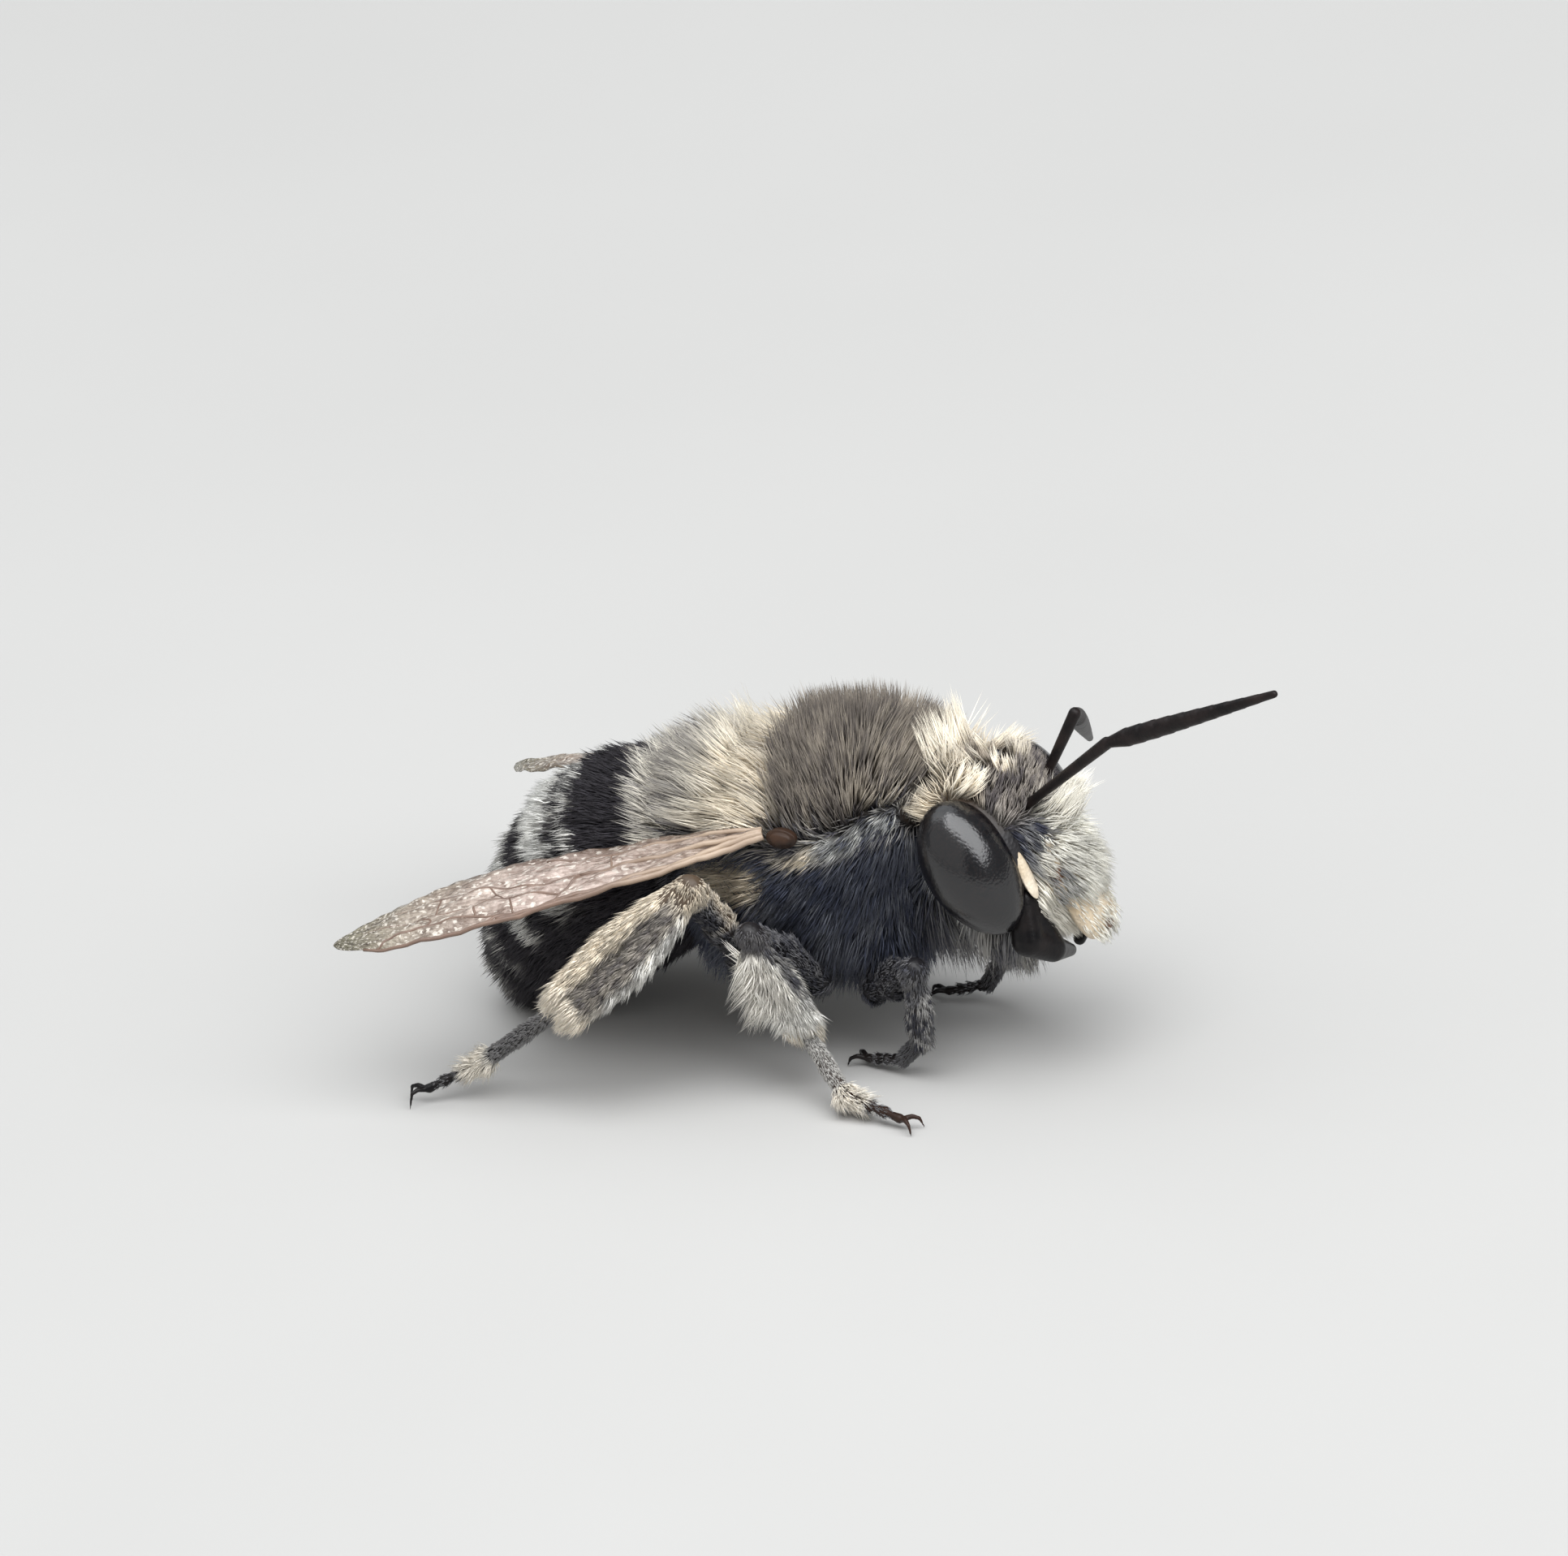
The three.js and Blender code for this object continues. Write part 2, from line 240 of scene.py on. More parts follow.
def fuse(piece, voxel, smoothing):
    # one closed surface over all the parts, with the creases between them softened
    modified(piece, "REMESH", mode="VOXEL", voxel_size=voxel)
    return modified(piece, "SMOOTH", factor=0.5, iterations=smoothing)


def settle(piece, material, slot, *replaced):
    # finishes a piece: nothing reaches below the floor
    points = getPoints(piece.data)
    points[:, 2] = np.maximum(points[:, 2], 0)
    setPoints(piece.data, points * mm)
    piece.data.polygons.foreach_set("use_smooth", [True] * len(piece.data.polygons))
    if not piece.data.materials:
        piece.data.materials.append(material)
    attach(piece, "root")
    if replaced:
        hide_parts(*replaced)
    return piece


# Shader helpers

def newMaterial(name, roughness, specular=0.5):
    material = bpy.data.materials.new(name)
    material.use_nodes = True
    shader = material.node_tree.nodes["Principled BSDF"]
    shader.inputs["Roughness"].default_value = roughness
    shader.inputs["Specular IOR Level"].default_value = specular
    return material, material.node_tree, shader


def addNode(tree, kind, links=None, **settings):
    node = tree.nodes.new(kind)
    for key, value in settings.items():
        setattr(node, key, value)
    for socket, source in (links or {}).items():
        if isinstance(source, (int, float, tuple)):
            node.inputs[socket].default_value = source
        else:
            tree.links.new(source, node.inputs[socket])
    return node


def scaled(tree, place, scale):
    return addNode(tree, "ShaderNodeMapping", {"Vector": place, "Scale": scale}).outputs["Vector"]


def objectPlace(tree, scale=1000.0):
    # object coordinates in millimetres, or finer
    return scaled(tree, addNode(tree, "ShaderNodeTexCoord").outputs["Object"], (scale,) * 3)


def noiseOf(tree, place, scale, detail, **more):
    links = {"Vector": place, "Scale": scale, "Detail": detail, **more}
    return addNode(tree, "ShaderNodeTexNoise", links).outputs["Fac"]


def cellsOf(tree, place, scale):
    return addNode(tree, "ShaderNodeTexVoronoi", {"Vector": place, "Scale": scale}).outputs


def axesOf(tree, place):
    return addNode(tree, "ShaderNodeSeparateXYZ", {"Vector": place}).outputs


def remap(tree, value, low=0.0, high=1.0, first=0.0, last=1.0):
    # from first to last as the value goes from low to high
    return addNode(tree, "ShaderNodeMapRange", {0: value, 1: low, 2: high, 3: first, 4: last}).outputs[0]


def mixColour(tree, share, first, second, blend="MIX"):
    node = addNode(tree, "ShaderNodeMix", data_type="RGBA", blend_type=blend)
    for index, source in ((0, share), (6, first), (7, second)):
        if isinstance(source, (int, float, tuple)):
            node.inputs[index].default_value = source
        else:
            tree.links.new(source, node.inputs[index])
    return node.outputs[2]


def attribute(tree, name):
    return addNode(tree, "ShaderNodeAttribute", attribute_name=name).outputs["Fac"]


def calculate(tree, operation, first, second=0.5, clamp=False):
    node = addNode(tree, "ShaderNodeMath", {0: first, 1: second}, operation=operation, use_clamp=clamp)
    return node.outputs[0]


def colour(red, green, blue):
    # a colour as seen on a screen, 0 to 255, in the shader's linear values
    return tuple(((c / 255 + 0.055) / 1.055) ** 2.4 for c in (red, green, blue)) + (1.0,)


def newGroup(name, numbers, colours, shown, kind):
    # a node group with its sockets, and what it is given
    group = bpy.data.node_groups.new(name, "ShaderNodeTree")
    for names, socket in ((numbers, "NodeSocketFloat"), (colours, "NodeSocketColor")):
        for given in names:
            group.interface.new_socket(name=given, in_out="INPUT", socket_type=socket)
    group.interface.new_socket(name=shown, in_out="OUTPUT", socket_type=kind)
    return group, group.nodes.new("NodeGroupInput").outputs


def makeMarkingsAndShadeGroup():
    # Marking colours of skin and coat: a piece's own attributes say how pale and how warm each place is. It
    # also paints shade into each hair, darker towards its root.
    group, given = newGroup("beeMarkingsAndRootShade", ("Pale", "Warm", "Along", "Strand", "Tip Share", "Root Shade"),
                            ("Black", "Brown", "White", "Buff", "Tip"), "Color", "NodeSocketColor")
    light = mixColour(group, given["Warm"], given["White"], given["Buff"])
    dark = mixColour(group, given["Warm"], given["Black"], given["Brown"])
    marking = mixColour(group, given["Pale"], dark, light)
    tipward = calculate(group, "POWER", given["Along"], 1.5)
    tipShare = calculate(group, "MULTIPLY", tipward, given["Tip Share"])
    tipShare = calculate(group, "MULTIPLY", tipShare, given["Warm"])
    tipped = mixColour(group, tipShare, marking, given["Tip"])
    patches = noiseOf(group, objectPlace(group, 1400.0), 1.0, 3.0)
    uneven = remap(group, patches, first=0.74, last=1.34)
    strand = remap(group, given["Strand"], first=0.66, last=1.26)
    # painted shade: each hair's colour is darkened towards its root by the root shade share
    rootward = calculate(group, "SUBTRACT", 1.0, given["Along"])
    shade = calculate(group, "SUBTRACT", 1.0, calculate(group, "MULTIPLY", rootward, given["Root Shade"]))
    level = calculate(group, "MULTIPLY", calculate(group, "MULTIPLY", uneven, strand), shade)
    addNode(group, "NodeGroupOutput", {"Color": mixColour(group, 1.0, tipped, level, "MULTIPLY")})
    return group


def makeGrainGroup():
    # fine pits and waves of a hard shell, as a height
    group, given = newGroup("shellGrain", ("Pits", "Waves", "Pit Scale", "Wave Scale"), (), "Height",
                            "NodeSocketFloat")
    place = objectPlace(group)
    pits = cellsOf(group, place, given["Pit Scale"])["Distance"]
    waves = noiseOf(group, place, given["Wave Scale"], 4.0)
    pitHeight = calculate(group, "MULTIPLY", pits, given["Pits"])
    waveHeight = calculate(group, "MULTIPLY", waves, given["Waves"])
    addNode(group, "NodeGroupOutput", {"Height": calculate(group, "ADD", pitHeight, waveHeight)})
    return group


markingsAndShadeGroup = makeMarkingsAndShadeGroup()
grainGroup = makeGrainGroup()


def addGroup(tree, group, **links):
    links = {key.replace("_", " "): source for key, source in links.items()}
    return addNode(tree, "ShaderNodeGroup", links, node_tree=group).outputs[0]


def addBump(tree, shader, height, strength, distance):
    bump = addNode(tree, "ShaderNodeBump", {"Height": height, "Strength": strength, "Distance": distance})
    tree.links.new(bump.outputs["Normal"], shader.inputs["Normal"])


def addGrain(tree, shader, pits, waves, scales=(18.0, 9.0), strength=0.4, distance=0.00002):
    height = addGroup(tree, grainGroup, Pits=pits, Waves=waves, Pit_Scale=scales[0], Wave_Scale=scales[1])
    addBump(tree, shader, height, strength, distance)


coatColours = {
    # the black is tinted blue as painted shade lit by an open sky
    "Black": colour(69, 74, 91),
    "Brown": colour(90, 81, 80),
    "White": colour(242, 242, 236),
    "Buff": colour(242, 226, 200),
}


def addMarkingsAndShade(tree, shader, along, strand, **look):
    shown = addGroup(tree, markingsAndShadeGroup, Pale=attribute(tree, "pale"), Warm=attribute(tree, "warm"),
                     Along=along, Strand=strand, **look)
    tree.links.new(shown, shader.inputs["Base Color"])


# the root shade share darkens each hair's colour towards its root, as painted shade
def makeCoatMaterial(name, tip, tipShare, paintedRootShade, **changes):
    material, tree, shader = newMaterial(name, 0.6, 0.25)
    colours = {**coatColours, **changes}
    addMarkingsAndShade(tree, shader, attribute(tree, "along"), attribute(tree, "strand"), Tip=tip,
                Tip_Share=tipShare, Root_Shade=paintedRootShade, **colours)
    return material


def makeSkinMaterial():
    material, tree, shader = newMaterial("cuticle", 0.42, 0.35)
    addMarkingsAndShade(tree, shader, 0.0, 0.5, Tip=colour(60, 50, 45), Tip_Share=0.0, Root_Shade=0.0,
                Black=colour(18, 18, 23), Brown=colour(38, 32, 30), White=colour(74, 72, 72),
                Buff=colour(92, 76, 60))
    addGrain(tree, shader, 0.5, 0.5, (14.0, 6.0), 0.5, 0.00003)
    return material


def makeShellMaterial(name, dark, light, roughness, pits=0.25):
    material, tree, shader = newMaterial(name, roughness, 0.2)
    noise = noiseOf(tree, objectPlace(tree), 2.2, 5.0)
    shown = mixColour(tree, remap(tree, noise, 0.35, 0.7), dark, light)
    tree.links.new(shown, shader.inputs["Base Color"])
    rough = remap(tree, noise, first=roughness - 0.08, last=roughness + 0.12)
    tree.links.new(rough, shader.inputs["Roughness"])
    addGrain(tree, shader, pits, 0.6)
    return material


def makeEyeMaterial():
    material, tree, shader = newMaterial("eyeShell", 0.2, 0.72)
    place = objectPlace(tree)
    shade = mixColour(tree, noiseOf(tree, place, 1.3, 2.0), colour(5, 5, 8), colour(30, 23, 24))
    facets = cellsOf(tree, place, 17.0)["Distance"]
    shown = mixColour(tree, remap(tree, facets, 0.25, 0.6), shade, colour(8, 8, 12))
    tree.links.new(shown, shader.inputs["Base Color"])
    addBump(tree, shader, calculate(tree, "SUBTRACT", 1.0, facets), 0.3, 0.00001)
    return material


def makeFadedMaterial(name, roughness, specular, noiseLook, axis, fade, first, last, pits):
    # two mottled tones, the second one taking over from fade's first place along the axis to its last
    material, tree, shader = newMaterial(name, roughness, specular)
    place = objectPlace(tree)
    noise = noiseOf(tree, place, *noiseLook)
    tones = [mixColour(tree, noise, *tone) for tone in (first, last)]
    share = remap(tree, axesOf(tree, place)[axis], *fade)
    tree.links.new(mixColour(tree, share, *tones), shader.inputs["Base Color"])
    addGrain(tree, shader, pits, 0.6)
    return material


def makeWingMaterial():
    # crinkled, with painted glints as pale specks, smoky towards the tip, darker at the hinge and the rear
    # edge
    material, tree, shader = newMaterial("wingMembrane", 0.34)
    shader.inputs["Coat Weight"].default_value = 0.3
    shader.inputs["Coat Roughness"].default_value = 0.2
    wingPlace = addNode(tree, "ShaderNodeUVMap", uv_map="wingMap").outputs["UV"]
    stretched = scaled(tree, wingPlace, (24.0, 9.0, 1.0))
    crinkle = noiseOf(tree, stretched, 1.4, 6.0, Roughness=0.65)
    cells = cellsOf(tree, stretched, 3.0)["Distance"]
    glitter = cellsOf(tree, stretched, 5.0)["Color"]
    folds = noiseOf(tree, scaled(tree, wingPlace, (3.0, 14.0, 1.0)), 1.6, 3.0)
    mixed = calculate(tree, "ADD", calculate(tree, "MULTIPLY", crinkle, 0.55),
                      calculate(tree, "MULTIPLY", folds, 0.45))
    tone = remap(tree, mixed, 0.4, 0.62)
    base = mixColour(tree, tone, colour(124, 102, 90), colour(222, 203, 193))
    axes = axesOf(tree, wingPlace)
    inner = mixColour(tree, remap(tree, axes["Y"], 0.74, 1.0), base, colour(96, 76, 64))
    tipward = remap(tree, axes["X"], 0.4, 0.88, 0.0, 0.95)
    smoky = mixColour(tree, tone, colour(70, 64, 50), colour(144, 140, 116))
    sparkle = addNode(tree, "ShaderNodeSeparateColor", {"Color": glitter}).outputs["Red"]
    # painted glints: pale specks put into the colour where the random cells are brightest, fading out
    # towards the hinge
    paintedGlint = remap(tree, sparkle, 0.76, 0.88, 0.0, 0.62)
    rootward = remap(tree, axes["X"], 0.34, 0.05, 0.0, 0.8)
    hollow = mixColour(tree, tone, colour(88, 70, 58), colour(160, 139, 120))
    plain = mixColour(tree, rootward, mixColour(tree, tipward, inner, smoky), hollow)
    shown = calculate(tree, "MULTIPLY", paintedGlint, calculate(tree, "SUBTRACT", 1.0, rootward))
    withPaintedGlints = mixColour(tree, shown, plain, colour(240, 232, 220))
    tree.links.new(withPaintedGlints, shader.inputs["Base Color"])
    tree.links.new(remap(tree, tone, first=0.96, last=0.86), shader.inputs["Alpha"])
    tree.links.new(remap(tree, sparkle, first=0.5, last=0.18), shader.inputs["Roughness"])
    height = calculate(tree, "ADD", mixed, cells)
    height = calculate(tree, "ADD", height, calculate(tree, "MULTIPLY", sparkle, 0.5))
    addBump(tree, shader, height, 0.9, 0.00005)
    return material


faceSpots = {  # brown spots of the shield and lip, in the head's frame
    "at": [(1.36, 0.3, -1.2), (1.36, -0.3, -1.2), (1.2, 0, -2.2), (1.1, 0.74, -0.72), (1.1, -0.74, -0.72)],
    "size": [0.13, 0.13, 0.2, 0.2, 0.2],
    "ragged": 0.25,
    "blur": 0.04,
}


def makeFaceMaterial():
    material, tree, shader = newMaterial("creamShell", 0.4)
    place = objectPlace(tree)
    mottle = noiseOf(tree, place, 1.6, 5.0)
    tone = remap(tree, mottle, 0.3, 0.7)
    shown = mixColour(tree, tone, colour(192, 172, 142), colour(232, 220, 200))
    for spot, size in zip(faceSpots["at"], faceSpots["size"]):
        apart = addNode(tree, "ShaderNodeVectorMath", {0: place, 1: tuple(inHead(*spot))},
                        operation="DISTANCE").outputs["Value"]
        ragged = calculate(tree, "ADD", apart, calculate(tree, "MULTIPLY", mottle, faceSpots["ragged"]))
        edge = size + 0.12  # the mottle's own mean pushes the edge in by about as much
        share = remap(tree, ragged, edge + faceSpots["blur"], edge - faceSpots["blur"])
        shown = mixColour(tree, share, shown, colour(104, 74, 54))
    tree.links.new(shown, shader.inputs["Base Color"])
    addGrain(tree, shader, 0.8, 0.3, (16.0, 5.0), 0.5, 0.00003)
    return material


cuticle = makeSkinMaterial()
blackShell = makeShellMaterial("blackShell", colour(9, 8, 10), colour(30, 25, 24), 0.3)
brownShell = makeShellMaterial("brownShell", colour(26, 19, 17), colour(70, 50, 38), 0.36)
feelerShell = makeShellMaterial("feelerShell", colour(12, 10, 11), colour(36, 28, 27), 0.4, 0.5)
# dark brown where the foot nears the ground, ash grey above
footShell = makeFadedMaterial("footShell", 0.4, 0.2, (2.2, 5.0), "Z", (0.6, 1.2),
                              (colour(16, 11, 10), colour(66, 46, 38)),
                              (colour(70, 70, 70), colour(130, 129, 124)), 0.4)
# pale near the hinge, brown further out
veinShell = makeFadedMaterial("veinShell", 0.4, 0.5, (1.6, 4.0), "X", (-2.4, -4.6),
                              (colour(134, 112, 96), colour(196, 176, 154)),
                              (colour(66, 50, 44), colour(148, 122, 106)), 0.3)
eyeShell = makeEyeMaterial()
wingMembrane = makeWingMaterial()
creamShell = makeFaceMaterial()
# the second number of each coat is how far its hairs are darkened towards the root, as painted shade
discCoat = makeCoatMaterial("discCoat", colour(142, 132, 118), 0.34, 0.42, Brown=colour(61, 55, 54))
darkCoat = makeCoatMaterial("darkCoat", colour(160, 150, 140), 0.3, 0.35)
# the blacks of the tail and leg coats also carry a blue tint of painted skylit shade
tailCoat = makeCoatMaterial("tailCoat", colour(150, 142, 134), 0.2, 0.4, Black=colour(44, 45, 55),
                            Brown=colour(66, 58, 57), White=colour(252, 252, 248))
paleCoat = makeCoatMaterial("paleCoat", colour(250, 243, 226), 0.45, 0.12, White=colour(244, 244, 237))
legCoat = makeCoatMaterial("legCoat", colour(250, 244, 232), 0.4, 0.16, Black=colour(62, 65, 76),
                           White=colour(252, 250, 244))
print("materials ready")


# Skin: one surface over the head, the thorax, the abdomen and the legs down to the end of the shins

thoraxSkin = {
    "radii": (2.62, 1.98, 2.15, 1.9),  # ahead, across, up, down
    "balls": [  # offset from the thorax's centre, then radii
        ((0.0, 0.0, 0.0), (2.5, 1.92, 1.9)),
        ((0.75, 0.0, 0.55), (1.8, 1.82, 1.72)),
        ((1.45, 0.0, 0.9), (1.48, 1.62, 1.4)),
        ((-1.3, 0.0, 0.85), (1.15, 1.45, 1.12)),
        ((-1.35, 0.0, -0.15), (1.3, 1.6, 1.6)),
        ((1.1, 0.0, -0.45), (1.3, 1.5, 1.4)),
    ],
}
headSkin = {
    "radii": (1.15, 1.86, 1.6),
    "balls": [  # in the head's own frame
        ((0.0, 0.0, 0.0), (1.12, 1.84, 1.58)),
        ((0.25, 0.0, 0.95), (0.75, 1.1, 0.62)),
        ((0.45, 0.0, 0.1), (0.82, 0.8, 0.95)),
        ((0.1, 0.0, -1.2), (0.75, 1.15, 0.62)),
    ],
}
abdomenSkin = {
    "radius": 2.5,
    "flatness": 0.93,
    "coat": 0.42,
    "start": 0.03,
    "end": 0.96,
    "lap": 0.085,  # how far each ring stands over the next
    "rings": [0.13, 0.24, 0.38, 0.51, 0.64, 0.77, 0.88],
    "line": [(-1.6, 0, 0.35), (-3.4, 0, 0.3), (-5.6, 0, -1.3), (-6.75, 0, -3.9)],  # from the thorax's centre
}
limbSkin = {
    "coxa": (0.36, 0.3),
    "femur": (0.24, 0.26),
    "tibia": {"front": (0.16, 0.2), "middle": (0.18, 0.23), "hind": (0.2, 0.26)},
    "flat": {"front": 0.05, "middle": 0.16, "hind": 0.32},  # half the extra depth of the shin
    "belly": 0.55,  # where along the shin it is deepest
    "thigh": (0.3, 0.3, 0.42),
    "thighAt": 0.45,
}
neckSkin = {
    "start": (1.8, 0, 0.2),  # from the thorax's centre
    "end": (-0.6, 0, -0.2),  # in the head's frame
    "radii": (0.8, 0.7),
}
skinFuse = {"voxel": 0.062, "smoothing": 4}
bendPoints = [np.array(thoraxCentre) + np.array(point) for point in abdomenSkin["line"]]


def bend(t):
    t = np.asarray(t)[..., None]
    a, b, c, d = bendPoints
    return (1 - t) ** 3 * a + 3 * t * (1 - t) ** 2 * b + 3 * t * t * (1 - t) * c + t ** 3 * d


def bendWay(t):
    return unit(bend(np.asarray(t) + 0.005) - bend(np.asarray(t) - 0.005))


def bendUp(way):
    # square to the abdomen's line, upwards
    return np.stack([way[:, 2], np.zeros(len(way)), -way[:, 0]], axis=1)


def abdomenRadius(t):
    shape = abdomenSkin
    swell = np.sin(np.pi * np.clip(t, 0, 1) ** 0.85) ** 0.55
    radius = shape["radius"] * swell - shape["coat"]
    edges = np.array([0.0] + shape["rings"] + [1.02])
    ring = np.clip(np.searchsorted(edges, t, side="right") - 1, 0, len(edges) - 2)
    share = (t - edges[ring]) / (edges[ring + 1] - edges[ring])
    rounded = np.sqrt(np.clip((t - shape["start"]) / 0.06, 0, 1) * np.clip((shape["end"] - t) / 0.07, 0, 1))
    return np.maximum(radius + shape["lap"] * (share ** 1.5 - 0.5), 0.02) * np.sin(rounded * math.pi / 2)


def makeAbdomen():
    piece = addBall("abdomen", (0, 0, 0), (1, 1, 1), 0, 56, 110)
    points = getPoints(piece.data)
    turn = np.arccos(np.clip(points[:, 2], -1, 1)) / math.pi
    t = abdomenSkin["start"] + (abdomenSkin["end"] - abdomenSkin["start"]) * turn
    around = unit(points[:, :2] + 1e-9)
    upward = bendUp(bendWay(t))
    radius = abdomenRadius(t)[:, None]
    across = np.array([[0, 1, 0]])
    shaped = bend(t) + radius * (around[:, :1] * upward * abdomenSkin["flatness"] + around[:, 1:] * across)
    setPoints(piece.data, shaped)
    return faceOut(piece)


def shinAxis(chain):
    # square to the shin, towards the rear
    way = (chain[3] - chain[2]).normalized()
    return (Vector((-1, 0, 0)) + way * way.x).normalized()


def makeLimbSkin(leg, chain):
    hip, trochanter, knee, ankle = chain[:4]
    parts = [
        addLimb("coxa", hip, trochanter, *limbSkin["coxa"]),
        addLimb("femur", trochanter, knee, *limbSkin["femur"]),
    ]
    thigh = trochanter.lerp(knee, limbSkin["thighAt"])
    parts.append(addBall("thigh", thigh, limbSkin["thigh"], 0, 20, 12))
    deep = shinAxis(chain) * limbSkin["flat"][leg]
    narrow, broad = limbSkin["tibia"][leg]
    belly = knee.lerp(ankle, limbSkin["belly"])
    for edge in (-1, 1):
        places = (knee + deep * edge * 0.3, belly + deep * edge, ankle + deep * edge * 0.75)
        parts += addChain("tibia", places, (narrow, broad, broad * 0.9))
    return joined("limb", parts)


def makeSkin():
    parts = []
    thoraxTurn = turned(thoraxPitch)
    for offset, radii in thoraxSkin["balls"]:
        parts.append(addBall("part", thoraxCentre + thoraxTurn @ Vector(offset), radii, thoraxPitch))
    for offset, radii in headSkin["balls"]:
        parts.append(addBall("part", inHead(*offset), radii, headTilt))
    neckStart = thoraxCentre + Vector(neckSkin["start"])
    parts.append(addLimb("neck", neckStart, inHead(*neckSkin["end"]), *neckSkin["radii"]))
    parts.append(makeAbdomen())
    for (leg, side), chain in joints.items():
        parts.append(makeLimbSkin(leg, chain))
    return fuse(joined("bodySkin", parts), **skinFuse)


skin = makeSkin()
print("skin:", len(skin.data.vertices), "points")


# The coat: which way it lies, how long it is and what it is coloured, all over the skin

def surfaceOf(piece):
    # points, normals, triangles and their areas
    mesh = piece.data
    mesh.calc_loop_triangles()
    corners = np.empty(len(mesh.loop_triangles) * 3, np.int32)
    mesh.loop_triangles.foreach_get("vertices", corners)
    points = getPoints(mesh)
    flat = np.empty(len(mesh.vertices) * 3)
    mesh.vertices.foreach_get("normal", flat)
    corners = corners.reshape(-1, 3)
    normals = flat.reshape(-1, 3)
    first, second, third = points[corners].transpose(1, 0, 2)
    doubled = np.linalg.norm(np.cross(second - first, third - first), axis=1)
    return points, normals, corners, doubled / 2


def localTo(points, centre, tilt, radii):
    # places in a tilted form's own axes, as shares of its radii: ahead, across and up
    turn = np.array(turned(tilt))
    own = (points - np.array(centre)) @ turn
    size = np.array(radii[:3])[None, :].repeat(len(points), axis=0)
    if len(radii) == 4:
        size[:, 2] = np.where(own[:, 2] > 0, radii[2], radii[3])
    return own / size


def offForm(points, centre, tilt, shape):
    # how far places are from the nearest ball of a form
    turn = turned(tilt)
    nearest = np.full(len(points), np.inf)
    for offset, radii in shape["balls"]:
        own = localTo(points, centre + turn @ Vector(offset), tilt, radii)
        nearest = np.minimum(nearest, np.abs(np.linalg.norm(own, axis=1) - 1) * min(radii))
    return nearest


def unwrapped(first, second, along):
    # places on the flat map: the turn about a part, and the way along it
    return np.stack([np.arctan2(first, second) / (2 * math.pi) + 0.5, along], axis=1)


bendSteps = np.linspace(0, 1, 161)
bendLine = bend(bendSteps)


def alongBend(points):
    # the nearest place on the abdomen's line, and the distance to it
    t = np.empty(len(points))
    reach = np.empty(len(points))
    for begin in range(0, len(points), 20000):
        part = points[begin:begin + 20000]
        apart = np.linalg.norm(part[:, None, :] - bendLine[None], axis=2)
        nearest = apart.argmin(axis=1)
        t[begin:begin + 20000] = bendSteps[nearest]
        reach[begin:begin + 20000] = apart[np.arange(len(part)), nearest]
    return t, reach


def alongRod(points, start, end):
    start, end = np.array(start), np.array(end)
    way = end - start
    share = np.clip((points - start) @ way / (way @ way), 0, 1)
    return share, np.linalg.norm(points - start - share[:, None] * way, axis=1)


limbReach = 0.27  # about how far a leg's skin is from its middle line


def partsOf(points):
    # which part of the body each place is on: thorax, head, abdomen or a leg
    t, reach = alongBend(points)
    scores = [
        offForm(points, thoraxCentre, thoraxPitch, thoraxSkin),
        offForm(points, headCentre, headTilt, headSkin),
        np.abs(reach - abdomenRadius(t)) + 2 * (t < 0.1),
    ]
    for (leg, side), chain in joints.items():
        reaches = [alongRod(points, chain[i], chain[i + 1])[1] for i in range(3)]
        scores.append(np.abs(np.array(reaches) - limbReach).min(axis=0))
    return np.argmin(scores, axis=0)


def blendFields(fields, share, **values):
    for key, value in values.items():
        value = np.asarray(value, float)
        if value.ndim == 1 and key == "lie":
            value = value[None, :]
        weight = share[:, None] if fields[key].ndim == 2 else share
        fields[key] = fields[key] * (1 - weight) + value * weight


def startFields(count, **start):
    fields = {key: np.zeros(count) for key in ("length", "lift", "pale", "warm", "density", "width")}
    fields["lie"] = np.zeros((count, 3))
    for key in ("gather", "draw", "mottle"):
        fields[key] = np.full(count, float(coatLook[key]))
    blendFields(fields, np.ones(count), **start)
    return fields


def addWisps(fields, points, centre, tilt, wisps):
    # locks that stand out by themselves, each at its own place on both sides
    turn = np.array(turned(tilt))
    own = (points - np.array(centre)) @ turn
    for wisp in wisps:
        for side in sides:
            apart = np.linalg.norm(own - np.array(mirrored(wisp["at"], side)), axis=1)
            look = {**wisp["look"], "lie": turn @ np.array(mirrored(wisp["look"]["lie"], side))}
            blendFields(fields, step(wisp["reach"], wisp["reach"] * 0.6, apart), **look)


def ripple(points, size, amount):
    # a slow unevenness that keeps the edges of markings ragged
    first, second = (np.sin(points @ np.array(way) / size) for way in ((2.1, 1.3, 0.7), (-1.1, 1.7, 1.9)))
    return (first + second) * amount / 2


